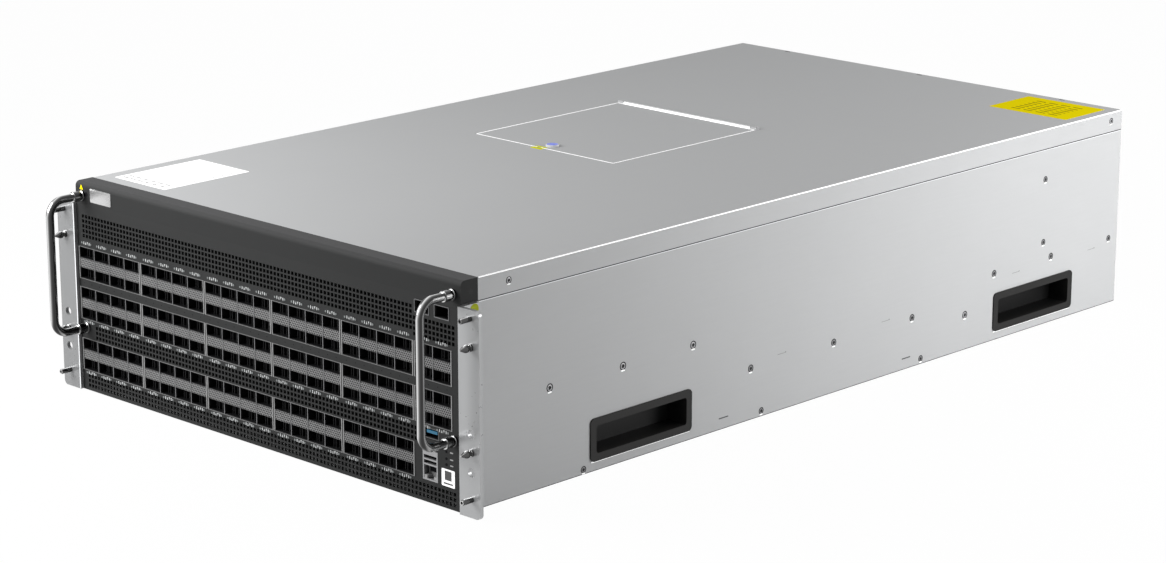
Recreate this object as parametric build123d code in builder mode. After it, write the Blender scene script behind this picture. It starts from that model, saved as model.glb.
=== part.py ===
from build123d import *
from math import atan2, degrees
import os

# A four unit rack switch for a data centre, with three rows of stacked transceiver ports
# Millimetres, +X to the right seen from the front, -Y to the front, +Z up
# The origin is the middle of the underside

# Overall sizes
body_width = 440
body_height = 172
body_depth = 796
ear_width = 21.3
sheet = 1.5
edge_gap = 0.3
contact_gap = 0.05
overrun = 5

half_width = body_width / 2
ear_span = body_width + 2 * ear_width
front_y = -body_depth / 2
rear_y = body_depth / 2
wall_inside = half_width - sheet
upper_wall_inside = wall_inside - sheet
cover_under = body_height - sheet

# Hood and cover
hood_depth = 17
flange_height = 17
hood_bend_radius = 4
seam_height = body_height - flange_height
seam_gap = 0.6
cover_front_y = front_y + hood_depth
cover_edge_radius = 1.2

# Front sheet and what shows through it
panel_inside_y = front_y + sheet
panel_flange_depth = 14
panel_lift = 0.4
port_margin_left = 1.6
port_margin_right = 10.2
group_count = 5
group_columns = 4
last_columns = 2
group_gap = 1.9
deck_thickness = 0.6
divider_thickness = 0.6
port_clear_height = 8.3
mesh_band_height = 8.4
row_gap_shares = (0.18415, 0.17452, 0.07602)
cage_depth = 62
connector_depth = 10
window_clearance = 0.2
row_height = 2 * deck_thickness + 2 * port_clear_height + mesh_band_height
free_height = body_height - len(row_gap_shares) * row_height
row_bases = []
row_top = 0
for gap_share in row_gap_shares:
    row_bases.append(row_top + gap_share * free_height)
    row_top = row_bases[-1] + row_height
bottom_row_base, middle_row_base, top_row_base = row_bases
port_field_left = -half_width + port_margin_left
port_field_width = body_width - port_margin_left - port_margin_right
column_total = group_count * group_columns + last_columns
column_pitch = (port_field_width - group_count * group_gap) / column_total
group_width = group_columns * column_pitch
last_group_width = last_columns * column_pitch
group_step = group_width + group_gap
last_group_left = port_field_left + group_count * group_step
port_field_right = port_field_left + port_field_width

# Vents, cut coarser than the real perforation
vent_size = 5.2
vent_pitch = 12.6
vent_margin = 12
top_vent_shares = (0.168, 0.52)
top_vent_heights = [row_top + share * (seam_height - row_top) for share in top_vent_shares]
middle_vent_z = (bottom_row_base + row_height + middle_row_base) / 2
bottom_vent_z = bottom_row_base / 2

# Small ports at the right end of the front
sfp_width = 14
sfp_height = 8.6
sfp_wall = 0.6
sfp_depth = 46
sfp_pitch = 20.6
sfp_height_share = 0.847
sfp_x_share = 0.911
sfp_z = sfp_height_share * body_height
sfp_right_x = sfp_x_share * half_width
sfp_left_x = sfp_right_x - sfp_pitch
board_thickness = 2.4
usb_width = 14.5
usb_height = 6.8
usb_depth = 16
usb_wall = 0.7
usb_x_share = 0.855
usb_z = middle_row_base - board_thickness - usb_height / 2 - usb_wall
usb_x = usb_x_share * half_width
console_width = 15.6
console_height = 22.8
console_depth = 26
console_wall = 1.2
console_jack_height = 10.2
console_slot_height = 2.6
console_x_share = 0.848
console_x = console_x_share * half_width
console_z = bottom_row_base + console_height / 2

# Rack ears and what stands on them
ear_thickness = 3
ear_leg_thickness = 2.5
ear_leg_depth = 16
ear_corner_radius = 4
ear_clear = 0.6
ear_hole_inset = 8.75
rack_hole_span = ear_span - 2 * ear_hole_inset
rack_hole_radius = 3.4
rack_hole_spacing = 28.575
rack_hole_low_z = 34.5
guide_pin_radius = 2.1
guide_pin_length = 10
guide_pin_bore = 1.1
guide_pin_bore_depth = 3
stud_radius = 2.9
stud_neck_radius = 2.1
stud_tip_radius = 0.5
stud_length = 10.5
stud_neck_share = 0.30
stud_collar_share = 0.16
stud_cone_share = 0.52
shank_radius = 1.4
shank_sides = 8
turned_sides = 16
guide_pin_low_z = 14.45
guide_pin_drop = 24.08
stud_low_z = 49.36
stud_drop = 45.06
guide_pin_heights = (guide_pin_low_z, body_height - guide_pin_drop)
stud_heights = (stud_low_z, body_height - stud_drop)

# Lift handles on the front
handle_radius = 3.2
handle_reach = 32
handle_bend_radius = 12
handle_inset = 8
handle_low_z = 53
handle_drop = 10.7
handle_x = half_width - handle_inset
handle_high_z = body_height - handle_drop
handle_tail = 9
ferrule_radius = 4.3
ferrule_groove_radius = 3.7
ferrule_length = 10
ferrule_groove_share = 0.2
ferrule_flange_share = 0.2

# Carry pockets in the side walls
pocket_length = 111
pocket_height = 33.6
pocket_rim = 6
pocket_corner_radius = 4
pocket_inner_radius = 2.5
pocket_flange = 1.1
pocket_wall = 1.3
pocket_sink = 20
pocket_z = 24.3
front_pocket_setback = 186
rear_pocket_inset = 121.3
pocket_fit = 0.3
front_pocket_y = front_y + front_pocket_setback
rear_pocket_y = rear_y - rear_pocket_inset

# Fasteners in the side walls, as places seen on the object
screw_radius = 2.6
screw_shank_radius = 1.5
screw_shank_length = 5
wall_screw_depth_shares = (0.390, 0.516, 0.641, 0.778, 0.878)
wall_screw_height_shares = (0.243, 0.243, 0.243, 0.340, 0.340)
clinch_radius = 3.1
clinch_depth_shares = (0.111, 0.208, 0.306, 0.730)
clinch_height_shares = (0.435, 0.435, 0.435, 0.176)

# Access door in the top cover
door_width = 160
door_length = 174
door_centre_x = -35
door_setback_share = 0.42563
door_gap = 0.4
hinge_radius = 2.3
hinge_rise = 0.3
hinge_pin_radius = 1
hinge_knuckle = 6
ledge_side = 7
ledge_front = 20
ledge_thickness = 1.5
fastener_head_radius = 5.6
fastener_head_height = 1.8
fastener_shank_radius = 2
fastener_hole_radius = 3.2
fastener_setback = 11
fastener_drop = 2.6

door_left = door_centre_x - door_width / 2
door_right = door_centre_x + door_width / 2
door_front_y = front_y + door_setback_share * body_depth
hinge_y = door_front_y + door_length + hinge_radius
hinge_z = body_height + hinge_rise
fastener_y = door_front_y + fastener_setback

# Boards and what they carry
board_edge_gap = 2
port_board_depth = 116
main_board_depth_share = 0.41457
main_board_depth = main_board_depth_share * body_depth
main_board_inset = 26
main_board_narrow = half_width - main_board_inset
standoff_radius = 3
spacer_radius = 2.5
chip_side = 76
chip_height = 4
sink_width = 190
sink_length = 118
sink_base = 9
sink_top_gap = 37.3
sink_fin = 2.2
sink_fin_count = 20
sink_setback_share = 0.21608
sink_setback = sink_setback_share * body_depth
bracket_width = 150
bracket_length = 158
bracket_drop = 65
bracket_height = cover_under - bracket_drop - sheet
bracket_setback_share = 0.43719
bracket_setback = bracket_setback_share * body_depth
bracket_foot = 14
card_lift = 5
card_thickness = 1.6
card_margin = 5
card_sink_side = 46
card_sink_height = 16
memory_thickness = 4
memory_height = 26
memory_length = 70
memory_pitch = 12

# Rear bays
fan_bay_count = 2
psu_count = 4
psu_width = 73.5
psu_length = 188
psu_shelf = 1.2
bay_slack = 0.15
psu_column_half = psu_width / 2 + bay_slack + sheet
fan_depth = 58
bay_floor = sheet + psu_shelf
bay_ceiling = cover_under - sheet
bay_height = bay_ceiling - bay_floor
fan_bay_width = (upper_wall_inside - psu_column_half - (fan_bay_count - 1) * sheet) / fan_bay_count
psu_pitch = (bay_height + psu_shelf) / psu_count
psu_height = psu_pitch - psu_shelf - 2 * bay_slack
rear_plate_y = rear_y - sheet
rear_border = 1.4
psu_front_y = rear_y - psu_length
socket_depth = 9
socket_height = 10
socket_width = 30
plug_width = 26
plug_thickness = 1.6
plug_length = 7
plug_gap = 0.4
mating_gap = 0.6
rear_board_thickness = 2.4
fan_board_height = 26

# Fan modules
fan_row_count = 2
fan_wall = 2.4
fan_tip_gap = 1.6
fan_stack_height = bay_height - 2 * bay_slack
fan_box_width = fan_bay_width - 2 * rear_border - 2 * bay_slack
fan_radius = min(fan_box_width, fan_stack_height / fan_row_count) / 2 - fan_wall - fan_tip_gap
fan_hub_radius = 17
fan_blades = 7
fan_blade_chord = 21
fan_blade_thickness = 2
fan_blade_angle = 38
fan_rotor_depth = 20
fan_strut = 5
fan_stator_depth = 7
fan_shaft_radius = 2.5
fan_shaft_length = 5
fan_face = 1.5
duct_sides = 36
bore_sides = 12
fan_face_lap = 0.5
fan_slot_count = 6
fan_slot_web = 2.6
blade_root_share = 0.9
pull_thickness = 3
pull_width = 7
pull_span = 34
pull_reach = 20
pull_bend = 6
fan_pull_x = -6
psu_pull_width = 5
psu_pull_x = 18.6
latch_width = 9
latch_height = 26
latch_thickness = 4
latch_pin_radius = 1.5
latch_boss_radius = 3.2
latch_ear = 2
latch_stand = 4.2
fan_latch_inset = 11.275
fan_latch_x = fan_bay_width / 2 - fan_latch_inset
psu_face = 1.5
psu_latch_height = 22
psu_latch_x = 29
inlet_width = 27
inlet_height = 20
inlet_depth = 16
inlet_x = -19
inlet_pin = 2
inlet_pin_length = 10
inlet_pin_pitch = 7
psu_vent_slots = 5
psu_vent_height_share = 0.16
psu_vent_width = 16
psu_vent_x = 8


def upright(y):
    """The plane across the body at one depth, seen from the front."""
    return Plane.XZ.offset(-y)


def sideways(x):
    """The plane along the body at one distance from its middle, seen from the right."""
    return Plane.YZ.offset(x)


def level(z):
    """The plane over the whole body at one height."""
    return Plane.XY.offset(z)


def block(low, high, mode=Mode.ADD):
    """A block between two corners, in the part that is being made."""
    middle = tuple((a + b) / 2 for a, b in zip(low, high))
    size = tuple(b - a for a, b in zip(low, high))
    with Locations(middle):
        Box(*size, mode=mode)


def along(share):
    """A depth in the body, from its share of the whole depth."""
    return front_y + share * body_depth


def wall_places(depth_shares, height_shares):
    """Places on a side wall, from their shares of its depth and height."""
    return [(along(depth), height * body_height) for depth, height in zip(depth_shares, height_shares)]


def save(part, label):
    """Name a finished piece and write it."""
    part.label = label
    export_step(part, "parts/" + label + ".step")


os.makedirs("parts", exist_ok=True)

# The base pan is bent up along both sides
base_pan_lip = 12
base_lift = bottom_row_base - board_thickness - sheet
standoff_depth_shares = (0.03, 0.13, 0.28, 0.40)
standoff_width_shares = (-0.84, 0.84)
with BuildPart() as base_pan:
    with BuildSketch(upright(panel_inside_y)):
        with BuildLine():
            Polyline(
                (0, 0),
                (wall_inside, 0),
                (wall_inside, base_pan_lip),
                (wall_inside - sheet, base_pan_lip),
                (wall_inside - sheet, sheet),
                (0, sheet),
            )
            mirror(about=Plane.YZ)
        make_face()
    extrude(amount=-(body_depth - sheet))
    for depth_share in standoff_depth_shares:
        for width_share in standoff_width_shares:
            with BuildSketch(level(sheet)):
                with Locations((width_share * half_width, along(depth_share))):
                    RegularPolygon(standoff_radius, 6)
            extrude(amount=base_lift)
save(base_pan.part, "base_pan")


def side_wall(side):
    """One side wall, stepped inwards at the top so that the cover lies flush over it."""
    outer = side * half_width
    middle = side * wall_inside
    inner = side * upper_wall_inside
    lap_height = seam_height - seam_gap
    with BuildPart() as wall:
        with BuildSketch(upright(panel_inside_y)):
            with BuildLine():
                Polyline(
                    (outer, 0),
                    (outer, lap_height),
                    (middle, lap_height),
                    (middle, cover_under),
                    (inner, cover_under),
                    (inner, lap_height - sheet),
                    (middle, lap_height - sheet),
                    (middle, 0),
                    close=True,
                )
            make_face()
        extrude(amount=-(body_depth - sheet))
        block(
            (min(inner, outer) - overrun, front_y, lap_height - sheet),
            (max(inner, outer) + overrun, cover_front_y, body_height),
            mode=Mode.SUBTRACT,
        )
        block(
            (min(middle, outer), panel_inside_y, lap_height - sheet),
            (max(middle, outer), cover_front_y, lap_height),
        )
        with BuildSketch(sideways(outer)):
            with Locations((front_pocket_y, pocket_z), (rear_pocket_y, pocket_z)):
                RectangleRounded(
                    pocket_length - 2 * pocket_rim + 2 * pocket_wall + 2 * pocket_fit,
                    pocket_height - 2 * pocket_rim + 2 * pocket_wall + 2 * pocket_fit,
                    pocket_inner_radius + pocket_wall + pocket_fit,
                )
        extrude(amount=-side * (sheet + overrun), mode=Mode.SUBTRACT)
        with BuildSketch(sideways(outer)):
            with Locations(*wall_places(wall_screw_depth_shares, wall_screw_height_shares)):
                RegularPolygon(screw_radius + contact_gap, 8)
            with Locations(*wall_places(clinch_depth_shares, clinch_height_shares)):
                RegularPolygon(clinch_radius + contact_gap, 8)
        extrude(amount=-side * (sheet + overrun), mode=Mode.SUBTRACT)
    return wall.part


save(side_wall(-1), "side_wall_left")
save(side_wall(1), "side_wall_right")


def wall_fasteners(radius, depth_shares, height_shares):
    """Flush headed fasteners in both walls, each with its shank inside."""
    with BuildPart() as fasteners:
        for side in (-1, 1):
            with BuildSketch(sideways(side * half_width)):
                with Locations(*wall_places(depth_shares, height_shares)):
                    RegularPolygon(radius, 8)
            extrude(amount=-side * sheet)
            with BuildSketch(sideways(side * wall_inside)):
                with Locations(*wall_places(depth_shares, height_shares)):
                    RegularPolygon(screw_shank_radius, 8)
            extrude(amount=-side * screw_shank_length)
    return fasteners.part


save(wall_fasteners(screw_radius, wall_screw_depth_shares, wall_screw_height_shares), "side_screws")
save(wall_fasteners(clinch_radius, clinch_depth_shares, clinch_height_shares), "clinch_studs")

# The front sheet has one long window for each row of ports, and is bent back under the hood
vent_left = port_field_left + vent_margin / 2
vent_column_count = int((sfp_left_x - sfp_width - vent_left) / vent_pitch)
vent_heights = top_vent_heights + [middle_vent_z, bottom_vent_z]
with BuildPart() as front_panel:
    block((-half_width, front_y, panel_lift), (half_width, panel_inside_y, seam_height))
    block(
        (-upper_wall_inside, panel_inside_y, seam_height - sheet),
        (upper_wall_inside, panel_inside_y + panel_flange_depth, seam_height),
    )
    for row, row_base in enumerate(row_bases):
        window_right = last_group_left - group_gap if row == 0 else port_field_right
        block(
            (port_field_left - window_clearance, front_y - overrun, row_base - window_clearance),
            (
                window_right + window_clearance,
                panel_inside_y + overrun,
                row_base + row_height + window_clearance,
            ),
            mode=Mode.SUBTRACT,
        )
    with BuildSketch(upright(front_y)):
        with Locations((sfp_left_x, sfp_z), (sfp_right_x, sfp_z)):
            Rectangle(
                sfp_width + 2 * sfp_wall + 2 * window_clearance,
                sfp_height + 2 * sfp_wall + 2 * window_clearance,
            )
        with Locations((usb_x, usb_z)):
            Rectangle(
                usb_width + 2 * usb_wall + 2 * window_clearance,
                usb_height + 2 * usb_wall + 2 * window_clearance,
            )
        with Locations((console_x, console_z)):
            Rectangle(
                console_width + 2 * window_clearance,
                console_height + 2 * window_clearance,
            )
    extrude(amount=-(sheet + overrun), mode=Mode.SUBTRACT)
    vent_places = [
        (vent_left + column * vent_pitch, height)
        for column in range(vent_column_count)
        for height in vent_heights
    ]
    with BuildSketch(upright(front_y)):
        with Locations(*vent_places):
            Rectangle(vent_size, vent_size)
    extrude(amount=-(sheet + overrun), mode=Mode.SUBTRACT)
    with Locations(
        *[
            upright(front_y) * Location((side * handle_x, handle_low_z))
            for side in (-1, 1)
        ]
    ):
        Hole(handle_radius + contact_gap)
save(front_panel.part, "front_panel")

# The hood is a bent sheet, open below and behind
with BuildPart() as front_hood:
    block((-half_width, front_y, seam_height), (half_width, cover_front_y, body_height))
    top_front = front_hood.edges().filter_by(Axis.X).group_by(Axis.Z)[-1].sort_by(Axis.Y)[0]
    fillet(top_front, hood_bend_radius)
    below_and_behind = [
        front_hood.faces().sort_by(Axis.Z)[0],
        front_hood.faces().sort_by(Axis.Y)[-1],
    ]
    offset(amount=-sheet, openings=below_and_behind)
    with Locations(
        *[
            upright(front_y) * Location((side * handle_x, handle_high_z))
            for side in (-1, 1)
        ]
    ):
        Hole(handle_radius + contact_gap, depth=hood_depth / 2)
save(front_hood.part, "front_hood")

# The cover laps down both sides, and its access opening has a ledge on three sides
opening_left = door_left - door_gap
opening_right = door_right + door_gap
opening_front_y = door_front_y - door_gap
knuckle_front_y = hinge_y - hinge_radius
barrel_left = door_left + hinge_knuckle + door_gap
barrel_right = door_right - hinge_knuckle - door_gap
with BuildPart() as top_cover:
    with BuildSketch(upright(cover_front_y)):
        with BuildLine():
            Polyline(
                (0, body_height),
                (half_width, body_height),
                (half_width, seam_height),
                (wall_inside, seam_height),
                (wall_inside, cover_under),
                (0, cover_under),
            )
            mirror(about=Plane.YZ)
        make_face()
    extrude(amount=-(body_depth - hood_depth))
    bends = top_cover.edges().filter_by(Axis.Y).group_by(Axis.Z)[-1]
    fillet(bends, cover_edge_radius)
    block(
        (opening_left, opening_front_y, cover_under - overrun),
        (opening_right, knuckle_front_y, body_height + overrun),
        mode=Mode.SUBTRACT,
    )
    block(
        (barrel_left - door_gap, knuckle_front_y, cover_under - overrun),
        (barrel_right + door_gap, hinge_y + hinge_radius + door_gap, body_height + overrun),
        mode=Mode.SUBTRACT,
    )
    for knuckle_left in (opening_left, barrel_right + door_gap):
        with BuildSketch(sideways(knuckle_left)):
            with Locations((hinge_y, hinge_z)):
                Circle(hinge_radius)
        extrude(amount=barrel_left - door_gap - opening_left)
    with BuildSketch(sideways(opening_left)):
        with Locations((hinge_y, hinge_z)):
            Circle(hinge_pin_radius + contact_gap)
    extrude(amount=opening_right - opening_left, mode=Mode.SUBTRACT)
with BuildPart() as door_ledge:
    block(
        (opening_left - ledge_side, opening_front_y - ledge_side, cover_under - ledge_thickness),
        (opening_right + ledge_side, knuckle_front_y - door_gap, cover_under),
    )
    block(
        (opening_left + ledge_side, opening_front_y + ledge_front, cover_under - ledge_thickness - overrun),
        (opening_right - ledge_side, knuckle_front_y + overrun, cover_under + overrun),
        mode=Mode.SUBTRACT,
    )
    with Locations(level(cover_under) * Location((door_centre_x, fastener_y))):
        Hole(fastener_hole_radius)
with BuildPart() as hinge_pin:
    with BuildSketch(sideways(opening_left)):
        with Locations((hinge_y, hinge_z)):
            Circle(hinge_pin_radius)
    extrude(amount=opening_right - opening_left)
save(Compound(children=[top_cover.part, door_ledge.part, hinge_pin.part]), "top_cover")

# The door hangs on the pin at its rear edge
with BuildPart() as access_door:
    block(
        (door_left, door_front_y, cover_under),
        (door_right, knuckle_front_y - door_gap, body_height),
    )
    block(
        (barrel_left, knuckle_front_y - door_gap, cover_under),
        (barrel_right, hinge_y, body_height),
    )
    with BuildSketch(sideways(barrel_left)):
        with Locations((hinge_y, hinge_z)):
            Circle(hinge_radius)
    extrude(amount=barrel_right - barrel_left)
    with BuildSketch(sideways(barrel_left)):
        with Locations((hinge_y, hinge_z)):
            Circle(hinge_pin_radius + contact_gap)
    extrude(amount=barrel_right - barrel_left, mode=Mode.SUBTRACT)
    with Locations(level(body_height) * Location((door_centre_x, fastener_y))):
        Hole(fastener_shank_radius + contact_gap)
save(access_door.part, "access_door")

# A round turning fastener holds the door's front edge
with BuildPart() as door_fastener:
    with BuildSketch(level(body_height)):
        with Locations((door_centre_x, fastener_y)):
            Circle(fastener_head_radius)
    extrude(amount=fastener_head_height)
    head_rim = door_fastener.edges().filter_by(GeomType.CIRCLE).sort_by(Axis.Z)[-1]
    chamfer(head_rim, fastener_head_height / 3)
    with BuildSketch(level(body_height)):
        with Locations((door_centre_x, fastener_y)):
            Circle(fastener_shank_radius)
    extrude(amount=-(sheet + fastener_drop))
    block(
        (
            door_centre_x - fastener_head_radius / 2,
            fastener_y - fastener_head_height / 4,
            body_height + fastener_head_height * 2 / 3,
        ),
        (
            door_centre_x + fastener_head_radius / 2,
            fastener_y + fastener_head_height / 4,
            body_height + fastener_head_height + overrun,
        ),
        mode=Mode.SUBTRACT,
    )
save(door_fastener.part, "door_fastener")


def rack_ear(side):
    """An angle bracket: a front plate with the rack holes and a leg on the side wall."""
    inner = side * half_width
    outer = side * ear_span / 2
    with BuildPart() as ear:
        with BuildSketch(upright(front_y)):
            with Locations(((inner + outer) / 2, seam_height / 2)):
                Rectangle(abs(outer - inner), seam_height - 2 * ear_clear)
        extrude(amount=ear_thickness)
        outer_corners = ear.edges().filter_by(Axis.Y).group_by(Axis.X)[-1 if side > 0 else 0]
        fillet(outer_corners, ear_corner_radius)
        block(
            (min(inner, inner + side * ear_leg_thickness), front_y, ear_clear),
            (
                max(inner, inner + side * ear_leg_thickness),
                front_y + ear_leg_depth,
                seam_height - ear_clear,
            ),
        )
        rack_holes = [rack_hole_low_z, rack_hole_low_z + rack_hole_spacing]
        ear_front = upright(front_y - ear_thickness)
        hole_x = side * rack_hole_span / 2
        with Locations(*[ear_front * Location((hole_x, z)) for z in rack_holes]):
            Hole(rack_hole_radius, depth=ear_thickness + overrun)
        with BuildSketch(ear_front):
            with Locations(*[(hole_x, z) for z in guide_pin_heights + stud_heights]):
                RegularPolygon(shank_radius + contact_gap, shank_sides)
        extrude(amount=-ear_thickness, mode=Mode.SUBTRACT)
    return ear.part


save(rack_ear(-1), "rack_ear_left")
save(rack_ear(1), "rack_ear_right")

# Hollow ended guide pins on both ears
ear_face_y = front_y - ear_thickness
pin_x = rack_hole_span / 2
guide_pin_places = [(side * pin_x, height) for side in (-1, 1) for height in guide_pin_heights]
with BuildPart() as guide_pins:
    with BuildSketch(upright(ear_face_y)):
        with Locations(*guide_pin_places):
            RegularPolygon(guide_pin_radius, turned_sides)
    extrude(amount=guide_pin_length)
    with BuildSketch(upright(ear_face_y)):
        with Locations(*guide_pin_places):
            RegularPolygon(shank_radius, shank_sides)
    extrude(amount=-ear_thickness)
    with BuildSketch(upright(ear_face_y - guide_pin_length)):
        with Locations(*guide_pin_places):
            RegularPolygon(guide_pin_bore, shank_sides)
    extrude(amount=-guide_pin_bore_depth, mode=Mode.SUBTRACT)
save(guide_pins.part, "ear_guide_pins")

# Pointed studs with a neck, turned to catch a front cover's spring
stud_places = [(side * pin_x, height) for side in (-1, 1) for height in stud_heights]
cone_length = stud_length * (1 - stud_cone_share)
cone_angle = degrees(atan2(stud_radius - stud_tip_radius, cone_length))
stud_steps = (
    (0, stud_collar_share, stud_radius),
    (stud_collar_share, stud_neck_share, stud_neck_radius),
    (stud_neck_share, stud_cone_share, stud_radius),
)
with BuildPart() as locating_studs:
    with BuildSketch(upright(ear_face_y)):
        with Locations(*stud_places):
            RegularPolygon(shank_radius, shank_sides)
    extrude(amount=-ear_thickness)
    for near_share, far_share, radius in stud_steps:
        with BuildSketch(upright(ear_face_y - near_share * stud_length)):
            with Locations(*stud_places):
                RegularPolygon(radius, turned_sides)
        extrude(amount=(far_share - near_share) * stud_length)
    with BuildSketch(upright(ear_face_y - stud_cone_share * stud_length)):
        with Locations(*stud_places):
            RegularPolygon(stud_radius, turned_sides)
    extrude(amount=cone_length, taper=cone_angle)
save(locating_studs.part, "ear_locating_studs")


def lift_handle(side):
    """A polished rod bent into a pull, with both tails through the front."""
    with BuildPart() as handle:
        with BuildLine() as route:
            FilletPolyline(
                (side * handle_x, front_y + handle_tail, handle_low_z),
                (side * handle_x, front_y - handle_reach, handle_low_z),
                (side * handle_x, front_y - handle_reach, handle_high_z),
                (side * handle_x, front_y + handle_tail, handle_high_z),
                radius=handle_bend_radius,
            )
        with BuildSketch(upright(front_y + handle_tail)):
            with Locations((side * handle_x, handle_low_z)):
                RegularPolygon(handle_radius, turned_sides)
        sweep(path=route.wire())
    return handle.part


save(lift_handle(-1), "handle_left")
save(lift_handle(1), "handle_right")

# Turned ferrules round the handle ends, each with a groove
groove_far_share = ferrule_flange_share + ferrule_groove_share
ferrule_steps = (
    (0, ferrule_flange_share, ferrule_radius),
    (ferrule_flange_share, groove_far_share, ferrule_groove_radius),
    (groove_far_share, 1, ferrule_radius),
)
ferrule_places = [
    (side * handle_x, height) for side in (-1, 1) for height in (handle_low_z, handle_high_z)
]
with BuildPart() as handle_ferrules:
    for near_share, far_share, radius in ferrule_steps:
        with BuildSketch(upright(front_y - near_share * ferrule_length)):
            with Locations(*ferrule_places):
                RegularPolygon(radius, turned_sides)
        extrude(amount=(far_share - near_share) * ferrule_length)
    with BuildSketch(upright(front_y)):
        with Locations(*ferrule_places):
            RegularPolygon(handle_radius + contact_gap, turned_sides)
    extrude(amount=ferrule_length, mode=Mode.SUBTRACT)
save(handle_ferrules.part, "handle_ferrules")


def carry_pocket(side, centre_y):
    """A moulded finger pocket: a rim on the wall and a closed cup behind it."""
    inner_length = pocket_length - 2 * pocket_rim
    inner_height = pocket_height - 2 * pocket_rim
    with BuildPart() as pocket:
        with BuildSketch(sideways(side * half_width)):
            with Locations((centre_y, pocket_z)):
                RectangleRounded(pocket_length, pocket_height, pocket_corner_radius)
        extrude(amount=side * pocket_flange)
        with BuildSketch(sideways(side * half_width)):
            with Locations((centre_y, pocket_z)):
                RectangleRounded(
                    inner_length + 2 * pocket_wall,
                    inner_height + 2 * pocket_wall,
                    pocket_inner_radius + pocket_wall,
                )
        extrude(amount=-side * pocket_sink)
        with BuildSketch(sideways(side * (half_width + pocket_flange))):
            with Locations((centre_y, pocket_z)):
                RectangleRounded(inner_length, inner_height, pocket_inner_radius)
        extrude(amount=-side * (pocket_sink + pocket_flange - pocket_wall), mode=Mode.SUBTRACT)
    return pocket.part


save(carry_pocket(-1, front_pocket_y), "pocket_front_left")
save(carry_pocket(-1, rear_pocket_y), "pocket_rear_left")
save(carry_pocket(1, front_pocket_y), "pocket_front_right")
save(carry_pocket(1, rear_pocket_y), "pocket_rear_right")


def port_groups(row):
    """The left edge and the column count of each group of cages in one row."""
    groups = [(port_field_left + number * group_step, group_columns) for number in range(group_count)]
    if row > 0:
        groups.append((last_group_left, last_columns))
    return groups


# Cage decks: a floor, a roof and the channel of mesh between the two tiers of ports
upper_tier_lift = deck_thickness + port_clear_height + mesh_band_height
mesh_lift = deck_thickness + port_clear_height + mesh_band_height / 2
wide_groups = []
narrow_groups = []
for row, row_base in enumerate(row_bases):
    for left, columns in port_groups(row):
        groups = wide_groups if columns == group_columns else narrow_groups
        groups.append((left + columns * column_pitch / 2, row_base))


def raised(places, lift):
    """The same places across the front, moved up."""
    return [(x, z + lift) for x, z in places]


with BuildPart() as cage_decks:
    with BuildSketch(upright(front_y)):
        for places, width in ((wide_groups, group_width), (narrow_groups, last_group_width)):
            floors = raised(places, deck_thickness / 2)
            roofs = raised(places, row_height - deck_thickness / 2)
            with Locations(*floors, *roofs):
                Rectangle(width, deck_thickness)
            with Locations(*raised(places, mesh_lift)):
                Rectangle(width, mesh_band_height)
    extrude(amount=-cage_depth)
    with BuildSketch(upright(front_y + deck_thickness)):
        for places, width in ((wide_groups, group_width), (narrow_groups, last_group_width)):
            with Locations(*raised(places, mesh_lift)):
                Rectangle(width, mesh_band_height - 2 * deck_thickness)
    extrude(amount=-cage_depth, mode=Mode.SUBTRACT)
save(cage_decks.part, "cage_decks")

# Cage dividers: the upright walls between neighbouring ports
tier_lifts = (deck_thickness + port_clear_height / 2, upper_tier_lift + port_clear_height / 2)
divider_places = []
for row, row_base in enumerate(row_bases):
    for left, columns in port_groups(row):
        for column in range(columns + 1):
            reach = columns * column_pitch - divider_thickness
            divider_x = left + divider_thickness / 2 + column * reach / columns
            divider_places += [(divider_x, row_base + lift) for lift in tier_lifts]
with BuildPart() as cage_dividers:
    with BuildSketch(upright(front_y)):
        with Locations(*divider_places):
            Rectangle(divider_thickness, port_clear_height)
    extrude(amount=-(cage_depth - connector_depth))
save(cage_dividers.part, "cage_dividers")

# Connector blocks close the back of every tier
with BuildPart() as port_connectors:
    with BuildSketch(upright(front_y + cage_depth - connector_depth)):
        for places, width in ((wide_groups, group_width), (narrow_groups, last_group_width)):
            with Locations(*raised(places, tier_lifts[0]), *raised(places, tier_lifts[1])):
                Rectangle(width, port_clear_height)
    extrude(amount=-connector_depth)
save(port_connectors.part, "port_connectors")

# Two port boards over the main board, held apart by spacers
board_half_width = upper_wall_inside - board_edge_gap
spacer_depth_share = 0.93
spacer_width_shares = (-0.9, -0.3, 0.3, 0.9)
port_board_front_y = panel_inside_y + board_edge_gap
spacer_y = port_board_front_y + spacer_depth_share * port_board_depth
middle_board_z = middle_row_base - board_thickness
top_board_z = top_row_base - board_thickness
with BuildPart() as port_plates:
    for board_z in (middle_board_z, top_board_z):
        block(
            (-board_half_width, port_board_front_y, board_z),
            (board_half_width, port_board_front_y + port_board_depth, board_z + board_thickness),
        )
with BuildPart() as port_spacers:
    for low_z, high_z in ((bottom_row_base, middle_board_z), (middle_row_base, top_board_z)):
        with BuildSketch(level(low_z)):
            with Locations(*[(share * board_half_width, spacer_y) for share in spacer_width_shares]):
                RegularPolygon(spacer_radius, 6)
        extrude(amount=high_z - low_z)
save(Compound(children=port_plates.part.solids() + port_spacers.part.solids()), "port_boards")

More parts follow.
